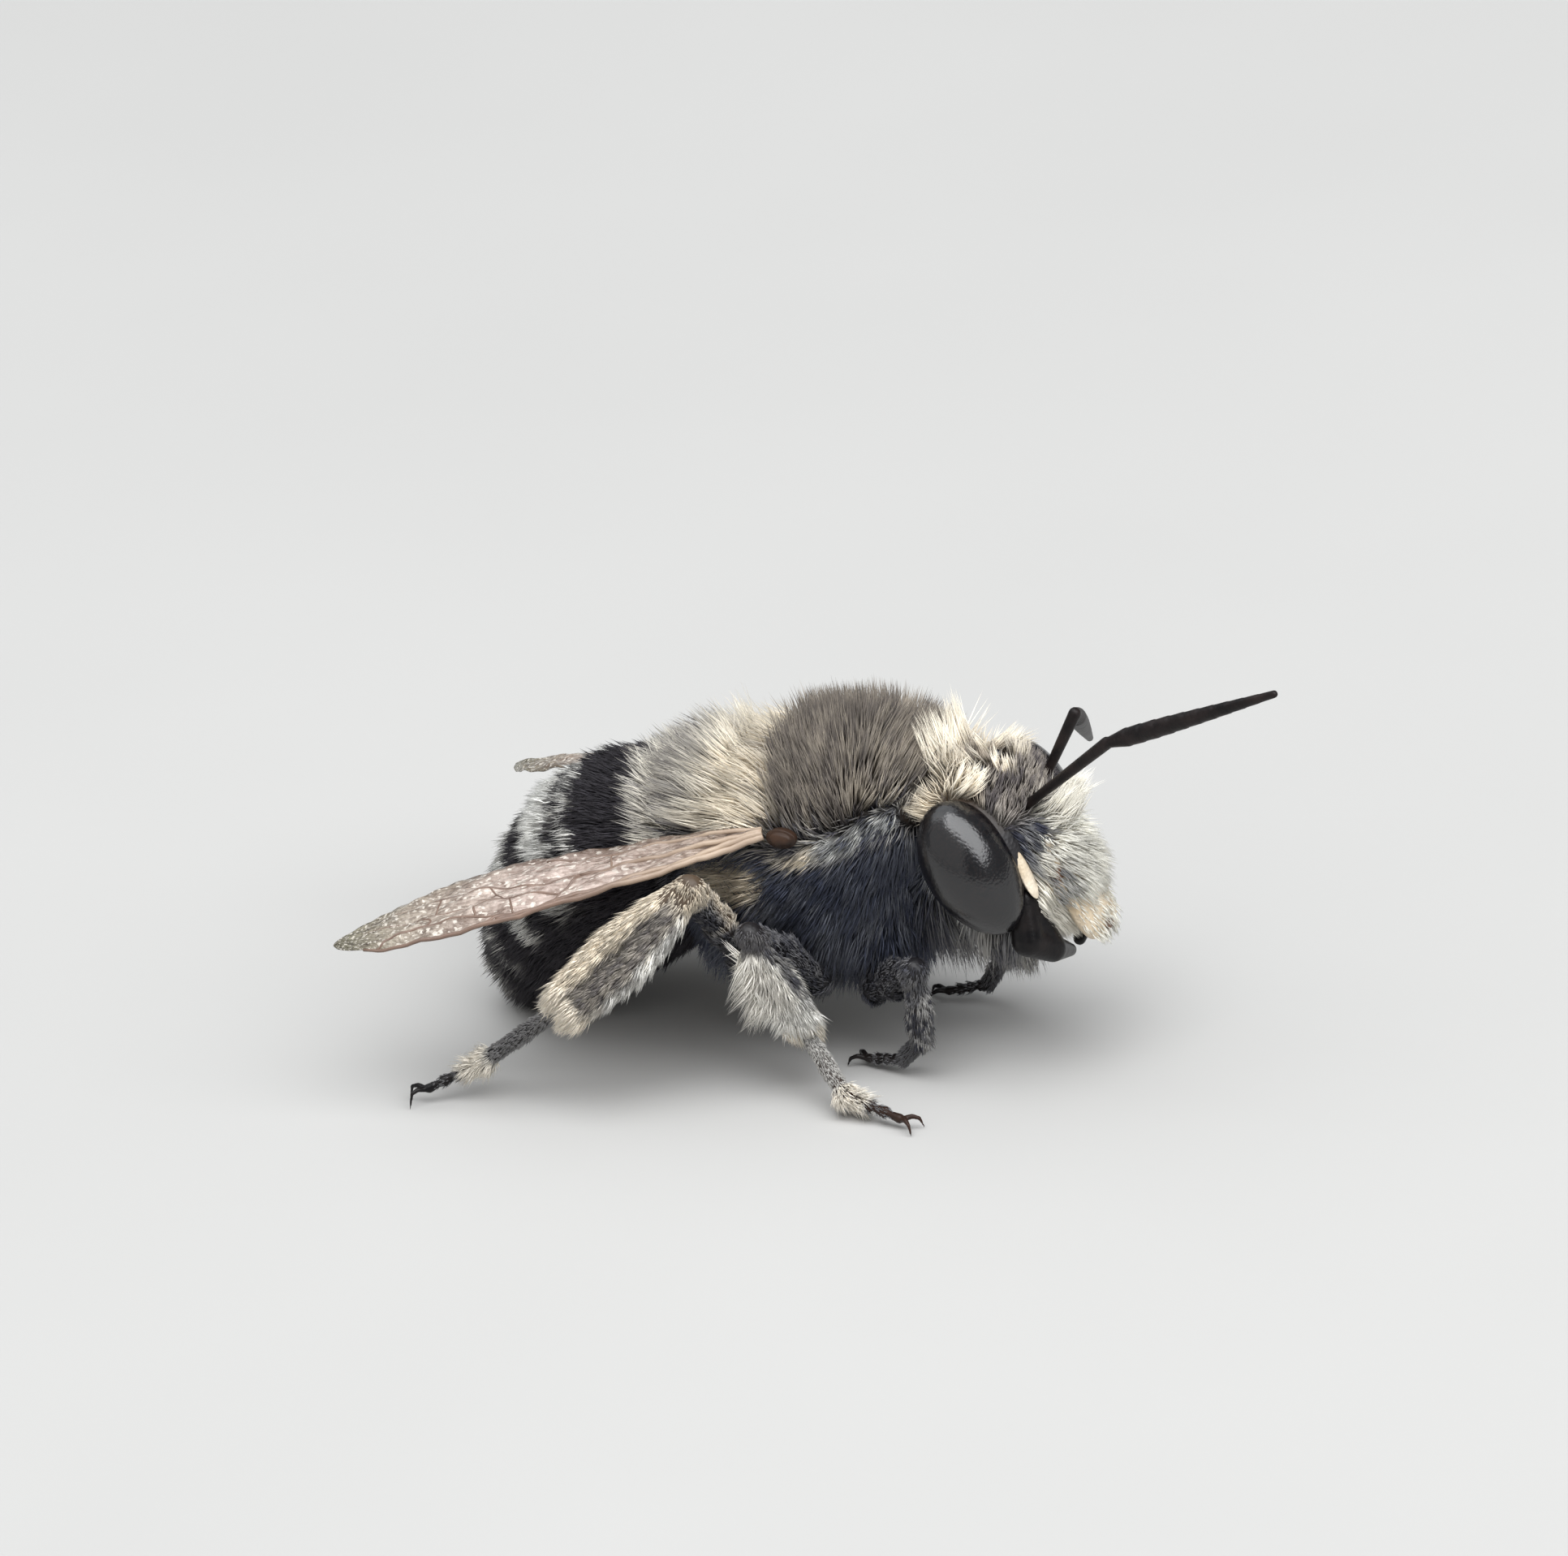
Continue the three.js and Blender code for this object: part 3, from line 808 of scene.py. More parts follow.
def thoraxFields(points, normals):
    own = localTo(points, thoraxCentre, thoraxPitch, thoraxSkin["radii"])
    ahead, across, high = own.T
    away = np.sign(across)
    ahead = ahead + ripple(points, 0.35, 0.05)
    flank = step(0.95, 0.6, high)
    fields = startFields(len(points), lie=(-0.1, 0, 0.9), length=0.95, lift=0.84, pale=0.1, warm=0.9,
                         density=860, width=0.017, gather=0.34, draw=0.14)
    blendFields(fields, flank, lift=0.48, length=0.85)
    discEdge = 0.4 + 0.06 * step(0.3, 0.6, ahead) + 0.13 * step(0.6, 0.85, ahead)
    discEdge = discEdge + 0.09 * step(0.1, -0.2, ahead)
    front = step(0.5, 0.85, ahead)
    blendFields(fields, front, lie=(0.5, 0, 0.8), lift=0.66, length=1.0, pale=0.16)
    lower = step(discEdge + 0.06, discEdge - 0.06, high + ripple(points, 0.3, 0.05))
    rear = step(0.13, -0.01, ahead)
    waist = step(-0.18, -0.55, ahead)
    rearLie = np.stack([np.full(len(points), -0.85), 0.1 * away, np.full(len(points), 0.3)], axis=1)
    blendFields(fields, rear, lie=rearLie, length=1.2, lift=0.48 + 0.12 * step(0.6, 0.9, high),
                pale=0.92 - 0.5 * waist, warm=0.85 - 0.4 * waist, density=640, width=0.018, gather=0.5,
                draw=0.3)
    rim = step(0.11, 0.05, np.abs(high - discEdge + 0.02)) * step(0.05, 0.2, ahead)
    blendFields(fields, rim, pale=0.92 - 0.5 * step(0.3, 0.5, ahead),
                warm=0.95 - 0.95 * step(0.3, 0.5, ahead), lift=0.5, lie=(-0.3, 0, -0.3), length=0.4)
    blendFields(fields, lower * (1 - rim), lie=(-0.5, 0, -0.6), length=0.6, lift=0.42, pale=0.05, warm=0.0,
                density=520, width=0.015)
    belly = step(-0.35, -0.6, high)
    blendFields(fields, belly, lie=(-0.3, 0, -0.9), length=0.95, lift=0.6)
    hinge = np.linalg.norm((points - hingePlace) * (1, 0, 1), axis=1)
    blendFields(fields, step(0.55, 0.35, hinge) * step(0.55, 0.45, high), pale=0.06, warm=0.3, length=0.45,
                lift=0.35)
    underWing = step(0.02, 0.12, -ahead) * step(0.72, 0.6, -ahead)
    underWing = underWing * step(-0.08, 0.02, high) * step(0.36, 0.28, high)
    blendFields(fields, underWing, pale=0.68, warm=1.0, length=0.55, lift=0.35, lie=(-0.9, 0, -0.2))
    collar = step(0.98, 1.05, ahead) * step(0.36, 0.5, high)
    blendFields(fields, collar, lie=(0.35, 0, 0.8), length=0.45, lift=0.4, pale=0.6, warm=0.85, density=560,
                width=0.018, draw=0.5)
    bib = step(0.8, 0.95, ahead) * step(-0.1, -0.3, high)
    blendFields(fields, bib, lie=(0.15, 0, -0.95), length=1.6, lift=0.5, pale=0.24, warm=0.25, density=760,
                width=0.017)
    return fields, unwrapped(across, high, own[:, 0] / 2.4 + 0.5)


headWisps = [  # in the head's frame
    {"at": (-0.3, 0.3, 1.45), "reach": 0.4, "look": {
        "lie": (-0.05, 0.1, 1.0), "lift": 0.75, "length": 1.3, "pale": 0.93, "warm": 0.6, "density": 900,
        "width": 0.018, "draw": 0.6}},
    {"at": (-0.05, 0.8, 1.3), "reach": 0.34, "look": {
        "lie": (1.0, 0.15, 0.15), "lift": 0.3, "length": 0.8, "pale": 1.0, "warm": 0.6, "density": 900,
        "width": 0.018, "draw": 0.6}},
    {"at": (-0.6, 0.8, 1.2), "reach": 0.36, "look": {
        "lie": (-0.5, 0.4, 0.4), "lift": 0.5, "length": 0.7, "pale": 0.95, "warm": 0.9, "density": 760,
        "width": 0.018, "draw": 0.6}},
    {"at": (0.3, 0.25, 1.5), "reach": 0.22, "look": {
        "lie": (-0.1, 0.2, 1.0), "lift": 0.8, "length": 0.65, "pale": 0.9, "warm": 0.6, "density": 760,
        "width": 0.014, "draw": 0.3}},
    {"at": (0.72, 0.3, 1.3), "reach": 0.24, "look": {
        "lie": (0.3, 0.1, 1.0), "lift": 0.8, "length": 0.55, "pale": 0.84, "warm": 0.7, "density": 760,
        "width": 0.014, "draw": 0.3}},
]


def headFields(points, normals):
    own = localTo(points, headCentre, headTilt, headSkin["radii"])
    ahead, across, high = own.T
    wide = np.abs(across)
    uneven = ripple(points, 0.25, 0.08)
    turn = np.array(turned(headTilt))
    fields = startFields(len(points), lie=turn @ (-0.5, 0, -0.6), length=0.5, lift=0.5, pale=0.45, warm=0.0,
                         density=560, width=0.013)
    face = step(0.3, 0.5, ahead)
    crown = step(0.5, 0.7, high + uneven)
    frons = face * step(0.2, 0.38, high) * step(0.8, 0.55, wide)
    flare = face * step(-0.1, 0.02, high + uneven) * step(0.4, 0.28, high + uneven) * step(0.34, 0.2, wide)
    mask = face * step(0.05, -0.1, high) * step(0.56, 0.4, wide + 0.3 * high)
    side = face * step(0.4, 0.25, high)
    chin = step(-0.42, -0.62, high) * step(0.12, -0.12, ahead)
    blendFields(fields, crown, lie=turn @ (0.1, 0, 0.9), length=0.28, lift=0.55, pale=0.26, warm=1.0,
                density=560, width=0.014)
    blendFields(fields, frons, lie=turn @ (0.5, 0, 0.6), length=0.36, lift=0.6, pale=0.14, warm=0.7,
                density=560, width=0.014)
    blendFields(fields, side, lie=turn @ (0.3, 0, -0.6), length=0.3, lift=0.3, pale=0.12, warm=0.1,
                density=640, width=0.013)
    blendFields(fields, mask, lie=turn @ (0.4, 0, -0.8), length=0.55, lift=0.55, pale=1.0, warm=0.3,
                density=900, width=0.015)
    blendFields(fields, flare, lie=turn @ (0.85, 0, 0.35), length=1.0, lift=0.7, pale=0.95, warm=0.3,
                density=900, width=0.016, draw=0.45)
    blendFields(fields, chin, lie=(-0.1, 0, -0.95), length=1.05, lift=0.45, pale=0.27, warm=0.25,
                density=760, width=0.016)
    addWisps(fields, points, headCentre, headTilt, headWisps)
    return fields, unwrapped(across, ahead, high / 2.4 + 0.5)


abdomenBands = [  # place along the abdomen, half width and strength of the pale fringes
    (0.375, 0.014, 0.78),
    (0.475, 0.04, 0.97),
    (0.625, 0.028, 0.93),
    (0.755, 0.015, 0.5),
    (0.87, 0.03, 0.4),
]


def abdomenFields(points, normals):
    t, reach = alongBend(points)
    way = bendWay(t)
    middle = bend(t)
    high = ((points - middle) * bendUp(way)).sum(axis=1)
    top = high / np.maximum(reach, 0.1)
    t = t + ripple(points, 0.3, 0.012) + ripple(points[:, [1, 2, 0]], 0.12, 0.012)
    fields = startFields(len(points), lie=(-1, 0, 0), length=0.46, lift=0.34, pale=0.0, warm=0.3,
                         density=560, width=0.015)
    fields["lie"] = way + np.array([[0, 0, 0.25]])
    upper = step(-0.1, 0.2, top)
    first = step(0.2, 0.17, t) * upper
    blendFields(fields, step(0.6, 0.8, t), length=0.62, lift=0.4)
    blendFields(fields, first, length=0.85, lift=0.5, pale=0.59, warm=0.4, density=600, width=0.017)
    for middleShare, half, strength in abdomenBands:
        fringe = step(half * 1.5, half * 0.7, np.abs(t - middleShare)) * upper
        blendFields(fields, fringe * strength, length=0.5, lift=0.42, pale=0.95, warm=0.05, density=640)
    return fields, unwrapped(points[:, 1] - middle[:, 1], high, t)


def aroundRod(normals, start, end, side):
    # how far a place on a limb faces up-and-back from it, and how far it faces outwards
    way = (end - start).normalized()
    above = (up - way * way.z).normalized()
    outward = way.cross(above)
    if outward.y * sides[side] < 0:
        outward.negate()
    return normals @ np.array(above), normals @ np.array(outward)


def legFields(leg, side, points, normals):
    chain = joints[leg, side]
    shares, reaches = zip(*(alongRod(points, chain[i], chain[i + 1]) for i in range(3)))
    segment = np.argmin(reaches, axis=0)
    share = np.choose(segment, shares)
    ways = np.array([(chain[i + 1] - chain[i]).normalized() for i in range(3)])
    fields = startFields(len(points), lie=(0, 0, -1), length=0.24, lift=0.22, pale=0.05, warm=0.1,
                         density=620, width=0.012)
    fields["lie"] = ways[segment]
    if leg == "front":
        fields["length"] = fields["length"] * 0.7
    axis = np.array(shinAxis(chain))
    way = ways[2]
    narrow, broad = limbSkin["tibia"][leg]
    flat = limbSkin["flat"][leg]
    half = np.interp(share, (0, limbSkin["belly"]), (narrow + flat * 0.3, broad + flat))
    offset = points - np.array(chain[2]) - share[:, None] * np.array(chain[3] - chain[2])
    rearward = offset @ axis / half + ripple(points, 0.15, 0.08)
    shin = (segment == 2) * step(0.03, 0.12, share)
    knee = np.maximum((segment == 2) * step(0.16, 0.06, share), (segment == 1) * step(0.8, 0.92, share))
    if leg == "front":
        blendFields(fields, shin, length=0.2, lift=0.2, pale=0.16, density=760)
    if leg == "middle":
        blendFields(fields, shin, length=0.36, lift=0.26, pale=0.93, warm=0.15, density=900, width=0.013)
        blendFields(fields, shin * step(0.1, 0.45, rearward), lie=way * 0.6 + axis * 0.6, length=0.95,
                    lift=0.3, pale=1.0, width=0.016, draw=0.45)
        blendFields(fields, shin * step(-0.7, -0.9, rearward), length=0.24, pale=0.12)
        blendFields(fields, shin * step(0.5, 0.75, share), pale=1.0, warm=0.0, length=0.42)
        blendFields(fields, shin * step(0.84, 0.92, share), warm=0.5, lift=0.12, length=0.34)
    if leg == "hind":
        topside = step(-0.4, 0.2, normals[:, 2])
        blendFields(fields, (segment == 1) * topside * step(0.15, 0.35, share), pale=0.6, warm=1.0,
                    length=0.2, lift=0.2, mottle=1.6)
        blendFields(fields, shin, length=0.26, lift=0.2, pale=0.13, warm=0.7, density=950, width=0.014)
        blendFields(fields, shin * step(0.1, 0.28, rearward), pale=1.0, warm=0.8, length=0.4, lift=0.08,
                    density=1050, gather=0.1, draw=0.0, mottle=0.3)
        blendFields(fields, shin * step(-0.75, -0.95, rearward), lie=way * 0.7 - axis * 0.5, pale=0.86,
                    warm=0.0, length=0.42, lift=0.25)
        blendFields(fields, shin * step(0.88, 0.96, share), pale=1.0, warm=0.6, length=0.4)
    blendFields(fields, knee, lie=(-0.25, 0, -1), gather=0.1, draw=0.0)
    kneePale, kneeWarm = {"front": (0.05, 0.1), "middle": (0.05, 0.25), "hind": (0.7, 1.0)}[leg]
    blendFields(fields, knee * (leg != "front"), pale=kneePale, warm=kneeWarm, length=0.17, lift=0.1,
                density=1000, mottle=1.2)
    above, outward = aroundRod(normals, chain[2], chain[3], side)
    return fields, unwrapped(outward, above, (segment + share) / 3)


def footFields(leg, side, points, normals):
    ankle, heel, tip = joints[leg, side][3:6]
    heelShare, heelReach = alongRod(points, ankle, heel)
    toeShare, toeReach = alongRod(points, heel, tip)
    onToe = toeReach < heelReach
    pale = {"front": 0.1, "middle": 0.5, "hind": 0.2}[leg]
    fields = startFields(len(points), lie=(heel - ankle).normalized(), length=0.13, lift=0.16, pale=pale,
                         warm=0.1, density=1120, width=0.0095, mottle=0.2)
    blendFields(fields, onToe.astype(float), lie=(tip - heel).normalized(), length=0.12, pale=0.12,
                density=500 * (toeShare < 0.6))
    if leg != "front":
        tuft = np.where(onToe, step(0.32, 0.2, toeShare), step(0.84, 0.92, heelShare))
        blendFields(fields, tuft, length=0.34, lift=0.5, pale=1.0, warm=0.4, density=1500)
    above, outward = aroundRod(normals, ankle, heel, side)
    return fields, unwrapped(outward, above, (onToe + np.where(onToe, toeShare, heelShare)) / 2)


partFields = [thoraxFields, headFields, abdomenFields]
partFields += [partial(legFields, *limb) for limb in joints]


def markSkin(piece):
    # the skin takes the coat's markings, point by point
    points, normals = surfaceOf(piece)[:2]
    parts = partsOf(points)
    marks = {"pale": np.zeros(len(points)), "warm": np.zeros(len(points))}
    for index, fieldsOf in enumerate(partFields):
        here = parts == index
        if here.any():
            fields = fieldsOf(points[here], normals[here])[0]
            for key in marks:
                marks[key][here] = fields[key]
    setMarks(piece.data, marks)


coatLook = {
    "seed": 7,
    "stray": 0.12,  # how far single hairs leave the lie
    "ruffle": 0.07,  # how far whole tufts leave it
    "tuft": 13,  # hairs in a tuft
    "gather": 0.5,  # how far a tuft's tips close up
    "lock": 70,  # hairs in a lock, which is many tufts
    "draw": 0.26,  # how far a lock's tips close up
    "curl": 0.24,
    "waver": 0.07,  # how far single hairs curl otherwise
    "lengths": (0.6, 1.05),
    "gathers": (0.4, 1.2),
    "fullGather": 0.45,  # the hair length from which gather acts in full
    "draws": (0.5, 1.2),
    "fullDraw": 0.9,
    "rooted": 0.03,  # how deep the root stands in the skin
    "taper": 0.3,
    "mottle": 3.2,  # how far half-pale places break up into pale and dark tufts
    "patch": 0.003,
    "most": 19500,  # hairs in one piece
}


def clearOfParts(places, forms):
    # true where nothing that stands on the skin would cover a root
    clear = np.ones(len(places), bool)
    for bare in forms:
        own = localTo(places, bare["centre"], bare["tilt"], bare["radii"])
        clear &= np.linalg.norm(own, axis=1) > 1.03
    return clear


def sampleRoots(rng, surface, fieldsOf, chosen, forms):
    # scatters roots over the chosen triangles
    points, normals, corners, areas = surface
    middles = points[corners[chosen]].mean(axis=1)
    middleNormals = unit(normals[corners[chosen]].sum(axis=1))
    density = fieldsOf(middles, middleNormals)[0]["density"]
    chosen = np.repeat(chosen, rng.poisson(areas[chosen] * density))
    weights = rng.dirichlet((1, 1, 1), len(chosen))[:, :, None]
    places = (points[corners[chosen]] * weights).sum(axis=1)
    facing = unit((normals[corners[chosen]] * weights).sum(axis=1))
    clear = clearOfParts(places, forms)
    places, facing = places[clear], facing[clear]
    fields, unwrap = fieldsOf(places, facing)
    fields.update(place=places, normal=facing, unwrap=unwrap)
    return fields


def pick(fields, chosen):
    return {key: values[chosen] for key, values in fields.items()}


def nearestOf(places, leaders):
    tree = KDTree(len(leaders))
    for i, leader in enumerate(leaders):
        tree.insert(places[leader], i)
    tree.balance()
    return leaders[[tree.find(place)[1] for place in places]]


hairRings = (0.0, 0.5)  # shares of a hair's length with a three-cornered ring; the tip is one point
hairFaces = [(i, (i + 1) % 3, 3 + (i + 1) % 3, 3 + i) for i in range(3)]
hairFaces += [(3 + i, 3 + (i + 1) % 3, 6) for i in range(3)] + [(2, 1, 0)]
hairPatch = [corner for i in range(3) for corner in ((i, 0), (i + 1, 0), (i + 1, 1), (i, 1))]
hairPatch += [corner for i in range(3) for corner in ((i, 1), (i + 1, 1), (i + 0.5, 2))]
hairPatch += [(0, 0), (1, 0), (0.5, 0.2)]


def growCoat(name, roots, material, slot, seed):
    rng = np.random.default_rng(seed)
    count = len(roots["place"])
    look = coatLook
    place, normal = roots["place"], roots["normal"]
    lie = unit(roots["lie"] - (roots["lie"] * normal).sum(axis=1, keepdims=True) * normal * 0.8)
    tuftLeaders = rng.choice(count, max(1, count // look["tuft"]), replace=False)
    tuft = nearestOf(place, tuftLeaders)
    lock = nearestOf(place, tuftLeaders[:max(1, count // look["lock"])])
    lift = roots["lift"][:, None] + rng.normal(0, look["ruffle"], count)[tuft][:, None]
    stray = rng.normal(0, look["stray"], (count, 3))
    way = unit(normal * lift + lie * (1 - lift) + stray)
    length = (roots["length"] * rng.uniform(*look["lengths"], count))[:, None]
    curl = (lie * look["curl"] + rng.normal(0, look["waver"], (count, 3))) * length
    gather = (roots["gather"] * rng.uniform(*look["gathers"], count))[:, None]
    gather = gather * np.clip(length / look["fullGather"], 0, 1)
    draw = (roots["draw"] * rng.uniform(*look["draws"], count)[tuft])[:, None]
    draw = draw * np.clip(length / look["fullDraw"], 0, 1)

    def pathAt(share):
        free = place + way * length * share + curl * share ** 2
        ownTuft = place[tuft] + way[tuft] * length * share + curl[tuft] * share ** 2
        ownLock = place[lock] + way[lock] * length * share + curl[lock] * share ** 2
        return free + (ownTuft - free) * gather * share ** 1.5 + (ownLock - free) * draw * share ** 2

    spine = [place - normal * look["rooted"], pathAt(0.5), pathAt(1.0)]
    spin = rng.uniform(0, 2 * math.pi, count)
    columns = []
    for i, share in enumerate(hairRings):
        tangent = unit(spine[i + 1] - spine[i])
        side = unit(np.cross(tangent, normal + 0.01))
        other = np.cross(tangent, side)
        radius = roots["width"] * (1 - look["taper"] * share)
        for corner in range(3):
            angle = spin + corner * 2 * math.pi / 3
            offset = side * np.cos(angle)[:, None] + other * np.sin(angle)[:, None]
            columns.append(spine[i] + offset * radius[:, None])
    columns.append(spine[2])
    points = np.stack(columns, axis=1).reshape(-1, 3)

    corners = np.array([corner for face in hairFaces for corner in face])
    loops = (np.arange(count)[:, None] * 7 + corners[None]).ravel()
    sizes = np.tile([len(face) for face in hairFaces], count)
    mesh = bpy.data.meshes.new(name)
    mesh.vertices.add(count * 7)
    mesh.loops.add(len(loops))
    mesh.polygons.add(len(sizes))
    mesh.vertices.foreach_set("co", points.astype(np.float32).ravel())
    mesh.loops.foreach_set("vertex_index", loops.astype(np.int32))
    starts = np.concatenate([[0], np.cumsum(sizes)[:-1]])
    mesh.polygons.foreach_set("loop_start", starts.astype(np.int32))
    mesh.update(calc_edges=True)

    layer = mesh.uv_layers.new(name="OFBake")
    patch = (np.array(hairPatch) / (3, 2) - 0.5) * look["patch"]
    spread = np.clip(roots["unwrap"], 0.002, 0.998)[:, None, :] + patch[None]
    layer.data.foreach_set("uv", spread.astype(np.float32).ravel())
    tuftLuck = rng.uniform(-0.5, 0.5, count)[tuft]
    broken = roots["pale"] * (1 - roots["pale"]) * roots["mottle"] * tuftLuck
    strand = rng.uniform(0, 1, count) * 0.5 + rng.uniform(0, 1, count)[tuft] * 0.5
    marks = {"pale": np.clip(roots["pale"] + broken, 0, 1), "warm": roots["warm"], "strand": strand}
    marks = {key: np.repeat(values, 7) for key, values in marks.items()}
    setMarks(mesh, {**marks, "along": np.tile([0, 0, 0, 0.5, 0.5, 0.5, 1.0], count)})
    settle(addObject(name, mesh), material, slot)
    print(name, count, "hairs")


eyeShape = {
    "radii": (0.87, 0.89, 1.42),
    "at": (-0.02, 1.45, 0.08),
    "tilt": headTilt + 8,
    "widen": 0.07,  # deeper towards the top
    "bow": 0.06,  # the inner margin bows in towards the middle of the face
    "close": 0.08,
}
facePlates = {
    "clypeusPlate": {
        "at": (0.9, 0, -0.6), "radii": (0.5, 0.84, 0.74), "square": 0.72, "narrow": 0.2, "lean": 6,
        "nodes": ["clypeus"], "pile": {"length": 0.5, "lift": 0.66, "density": 620},
    },
    "labrumPlate": {
        "at": (1.13, 0, -1.64), "radii": (0.22, 0.66, 0.7), "square": 0.62, "narrow": -0.1, "lean": 4,
        "nodes": ["labrum"], "pile": {"length": 0.22, "lift": 0.3, "density": 150},
    },
}
cheekMark = {"at": (0.77, 1.13, -0.2), "radii": (0.12, 0.16, 0.74), "square": 1.1, "narrow": 0.82, "lean": 3,
             "nodes": []}
plateEdge = {"bulge": 1.15, "rim": 0.07, "rimAt": 0.86, "groove": 0.05, "grooveAt": 0.74, "soft": 0.05}
for side in sides:
    facePlates["cheekMark" + side.title()] = {**cheekMark, "at": mirrored(cheekMark["at"], side)}
ocelli = [(0.66, 0, 1.46), (0.36, 0.36, 1.52), (0.36, -0.36, 1.52)]  # in the head's frame
bareForms = []  # what stands on the skin, so that no hair grows through it
for side in sides:
    bareForms.append({"centre": inHead(*mirrored(eyeShape["at"], side)), "tilt": eyeShape["tilt"],
                      "radii": eyeShape["radii"]})
    bareForms.append({"centre": boxCentre(f"tegula_{side}"), "tilt": 0, "radii": (0.2, 0.32, 0.16)})
for plate in facePlates.values():
    bareForms.append({"centre": inHead(*plate["at"]), "tilt": headTilt, "radii": plate["radii"]})
for place in ocelli:
    bareForms.append({"centre": inHead(*place), "tilt": headTilt, "radii": (0.2, 0.2, 0.2)})

surface = surfaceOf(skin)
hingePlace = np.array(boxCentre("tegula_right"))
markSkin(skin)
fleshNodes = ["head", "thorax"] + [f"abdomen_{i}" for i in range(1, 7)]
fleshNodes += [f"leg_{leg}_{side}_{part}" for leg, side in joints for part in ("coxa", "femur", "tibia")]
rng = np.random.default_rng(coatLook["seed"])
triangleParts = partsOf(surface[0][surface[2]].mean(axis=1))
allRoots = [sampleRoots(rng, surface, fieldsOf, np.flatnonzero(triangleParts == index), bareForms)
            for index, fieldsOf in enumerate(partFields)]
settle(skin, cuticle, "shell", *fleshNodes)


def splitRoots(fields, masks):
    # shares a part's hairs out between pieces; each mask takes from what is left
    left = np.ones(len(fields["place"]), bool)
    for name, mask, material, slot in masks:
        chosen = np.flatnonzero(left & mask)
        left[chosen] = False
        pieces = max(1, math.ceil(len(chosen) / coatLook["most"]))
        for i in range(pieces):
            suffix = "" if pieces == 1 else str(i + 1)
            growCoat(name + suffix, pick(fields, chosen[i::pieces]), material, slot, len(name) + i)


thorax, head, abdomen = allRoots[:3]
splitRoots(thorax, [
    ("coatMane", thorax["pale"] > 0.45, paleCoat, "pale_coat"),
    ("coatBack", thorax["warm"] > 0.5, discCoat, "dark_coat"),
    ("coatFlank", True, darkCoat, "dark_coat"),
])
splitRoots(head, [
    ("coatFace", head["pale"] > 0.55, paleCoat, "pale_coat"),
    ("coatCheeks", True, darkCoat, "dark_coat"),
])
splitRoots(abdomen, [
    ("coatWaist", abdomen["unwrap"][:, 1] < 0.18, paleCoat, "pale_coat"),
    ("coatTail", True, tailCoat, "dark_coat"),
])
for index, (leg, side) in enumerate(joints, 3):
    growCoat(f"coat{leg.title()}{side.title()}Leg", allRoots[index], legCoat, "leg_coat", index)


# Eyes, face plates, jaws and feelers

for side in sides:
    eye = addBall("eye" + side.title(), (0, 0, 0), (1, 1, 1), 0, 72, 54)
    points = getPoints(eye.data)
    points[:, 0] *= 1 + eyeShape["widen"] * points[:, 2]
    points[:, 0] -= eyeShape["bow"] * (1 - points[:, 2] ** 2)
    points[:, 1] *= 1 - eyeShape["close"] * points[:, 2] ** 2
    setShaped(eye, points, eyeShape["radii"], eyeShape["tilt"], inHead(*mirrored(eyeShape["at"], side)))
    settle(eye, eyeShell, "eye", f"eye_{side}")


def ridge(values, middle, half):
    return np.exp(-((values - middle) / half) ** 2)


def addPlate(name, plate):
    # a squarish shield that narrows upwards and has a low rim
    piece = addBall(name, (0, 0, 0), (1, 1, 1), 0, 72, 48)
    points = getPoints(piece.data)
    edge = np.sqrt(points[:, 1] ** 2 + points[:, 2] ** 2)
    points = np.sign(points) * np.abs(points) ** plate["square"]
    points[:, 0] = np.sign(points[:, 0]) * np.abs(points[:, 0]) ** plateEdge["bulge"]
    rim = plateEdge["rim"] * ridge(edge, plateEdge["rimAt"], plateEdge["soft"])
    points[:, 0] += rim - plateEdge["groove"] * ridge(edge, plateEdge["grooveAt"], plateEdge["soft"])
    points[:, 1] *= 1 - plate["narrow"] * points[:, 2]
    setShaped(piece, points, plate["radii"], headTilt + plate["lean"], inHead(*plate["at"]))
    return piece


def pileFields(name, points, normals):
    # the pile of the shield and the few hairs of the lip
    plate = facePlates[name]
    own = localTo(points, inHead(*plate["at"]), headTilt, plate["radii"])
    ahead, across, high = own.T
    turn = np.array(turned(headTilt))
    fields = startFields(len(points), lie=turn @ (0.3, 0, -0.9), pale=1.0, warm=0.15, width=0.013,
                         **plate["pile"])
    if name == "clypeusPlate":
        blendFields(fields, step(0.5, 0.8, np.abs(across)), density=420, length=0.34, lift=0.4, pale=0.62)
    fields["density"] = fields["density"] * step(0.0, 0.3, ahead)
    return fields, unwrapped(across, ahead, high / 2.4 + 0.5)


pileRoots = []
for name, plate in facePlates.items():
    piece = addPlate(name, plate)
    if "pile" in plate:
        plateSurface = surfaceOf(piece)
        everywhere = np.arange(len(plateSurface[2]))
        pileRoots.append(sampleRoots(rng, plateSurface, partial(pileFields, name), everywhere, []))
    settle(piece, creamShell, "face", *plate["nodes"])
growCoat("coatShield", {key: np.concatenate([roots[key] for roots in pileRoots]) for key in pileRoots[0]},
         paleCoat, "pale_coat", 50)

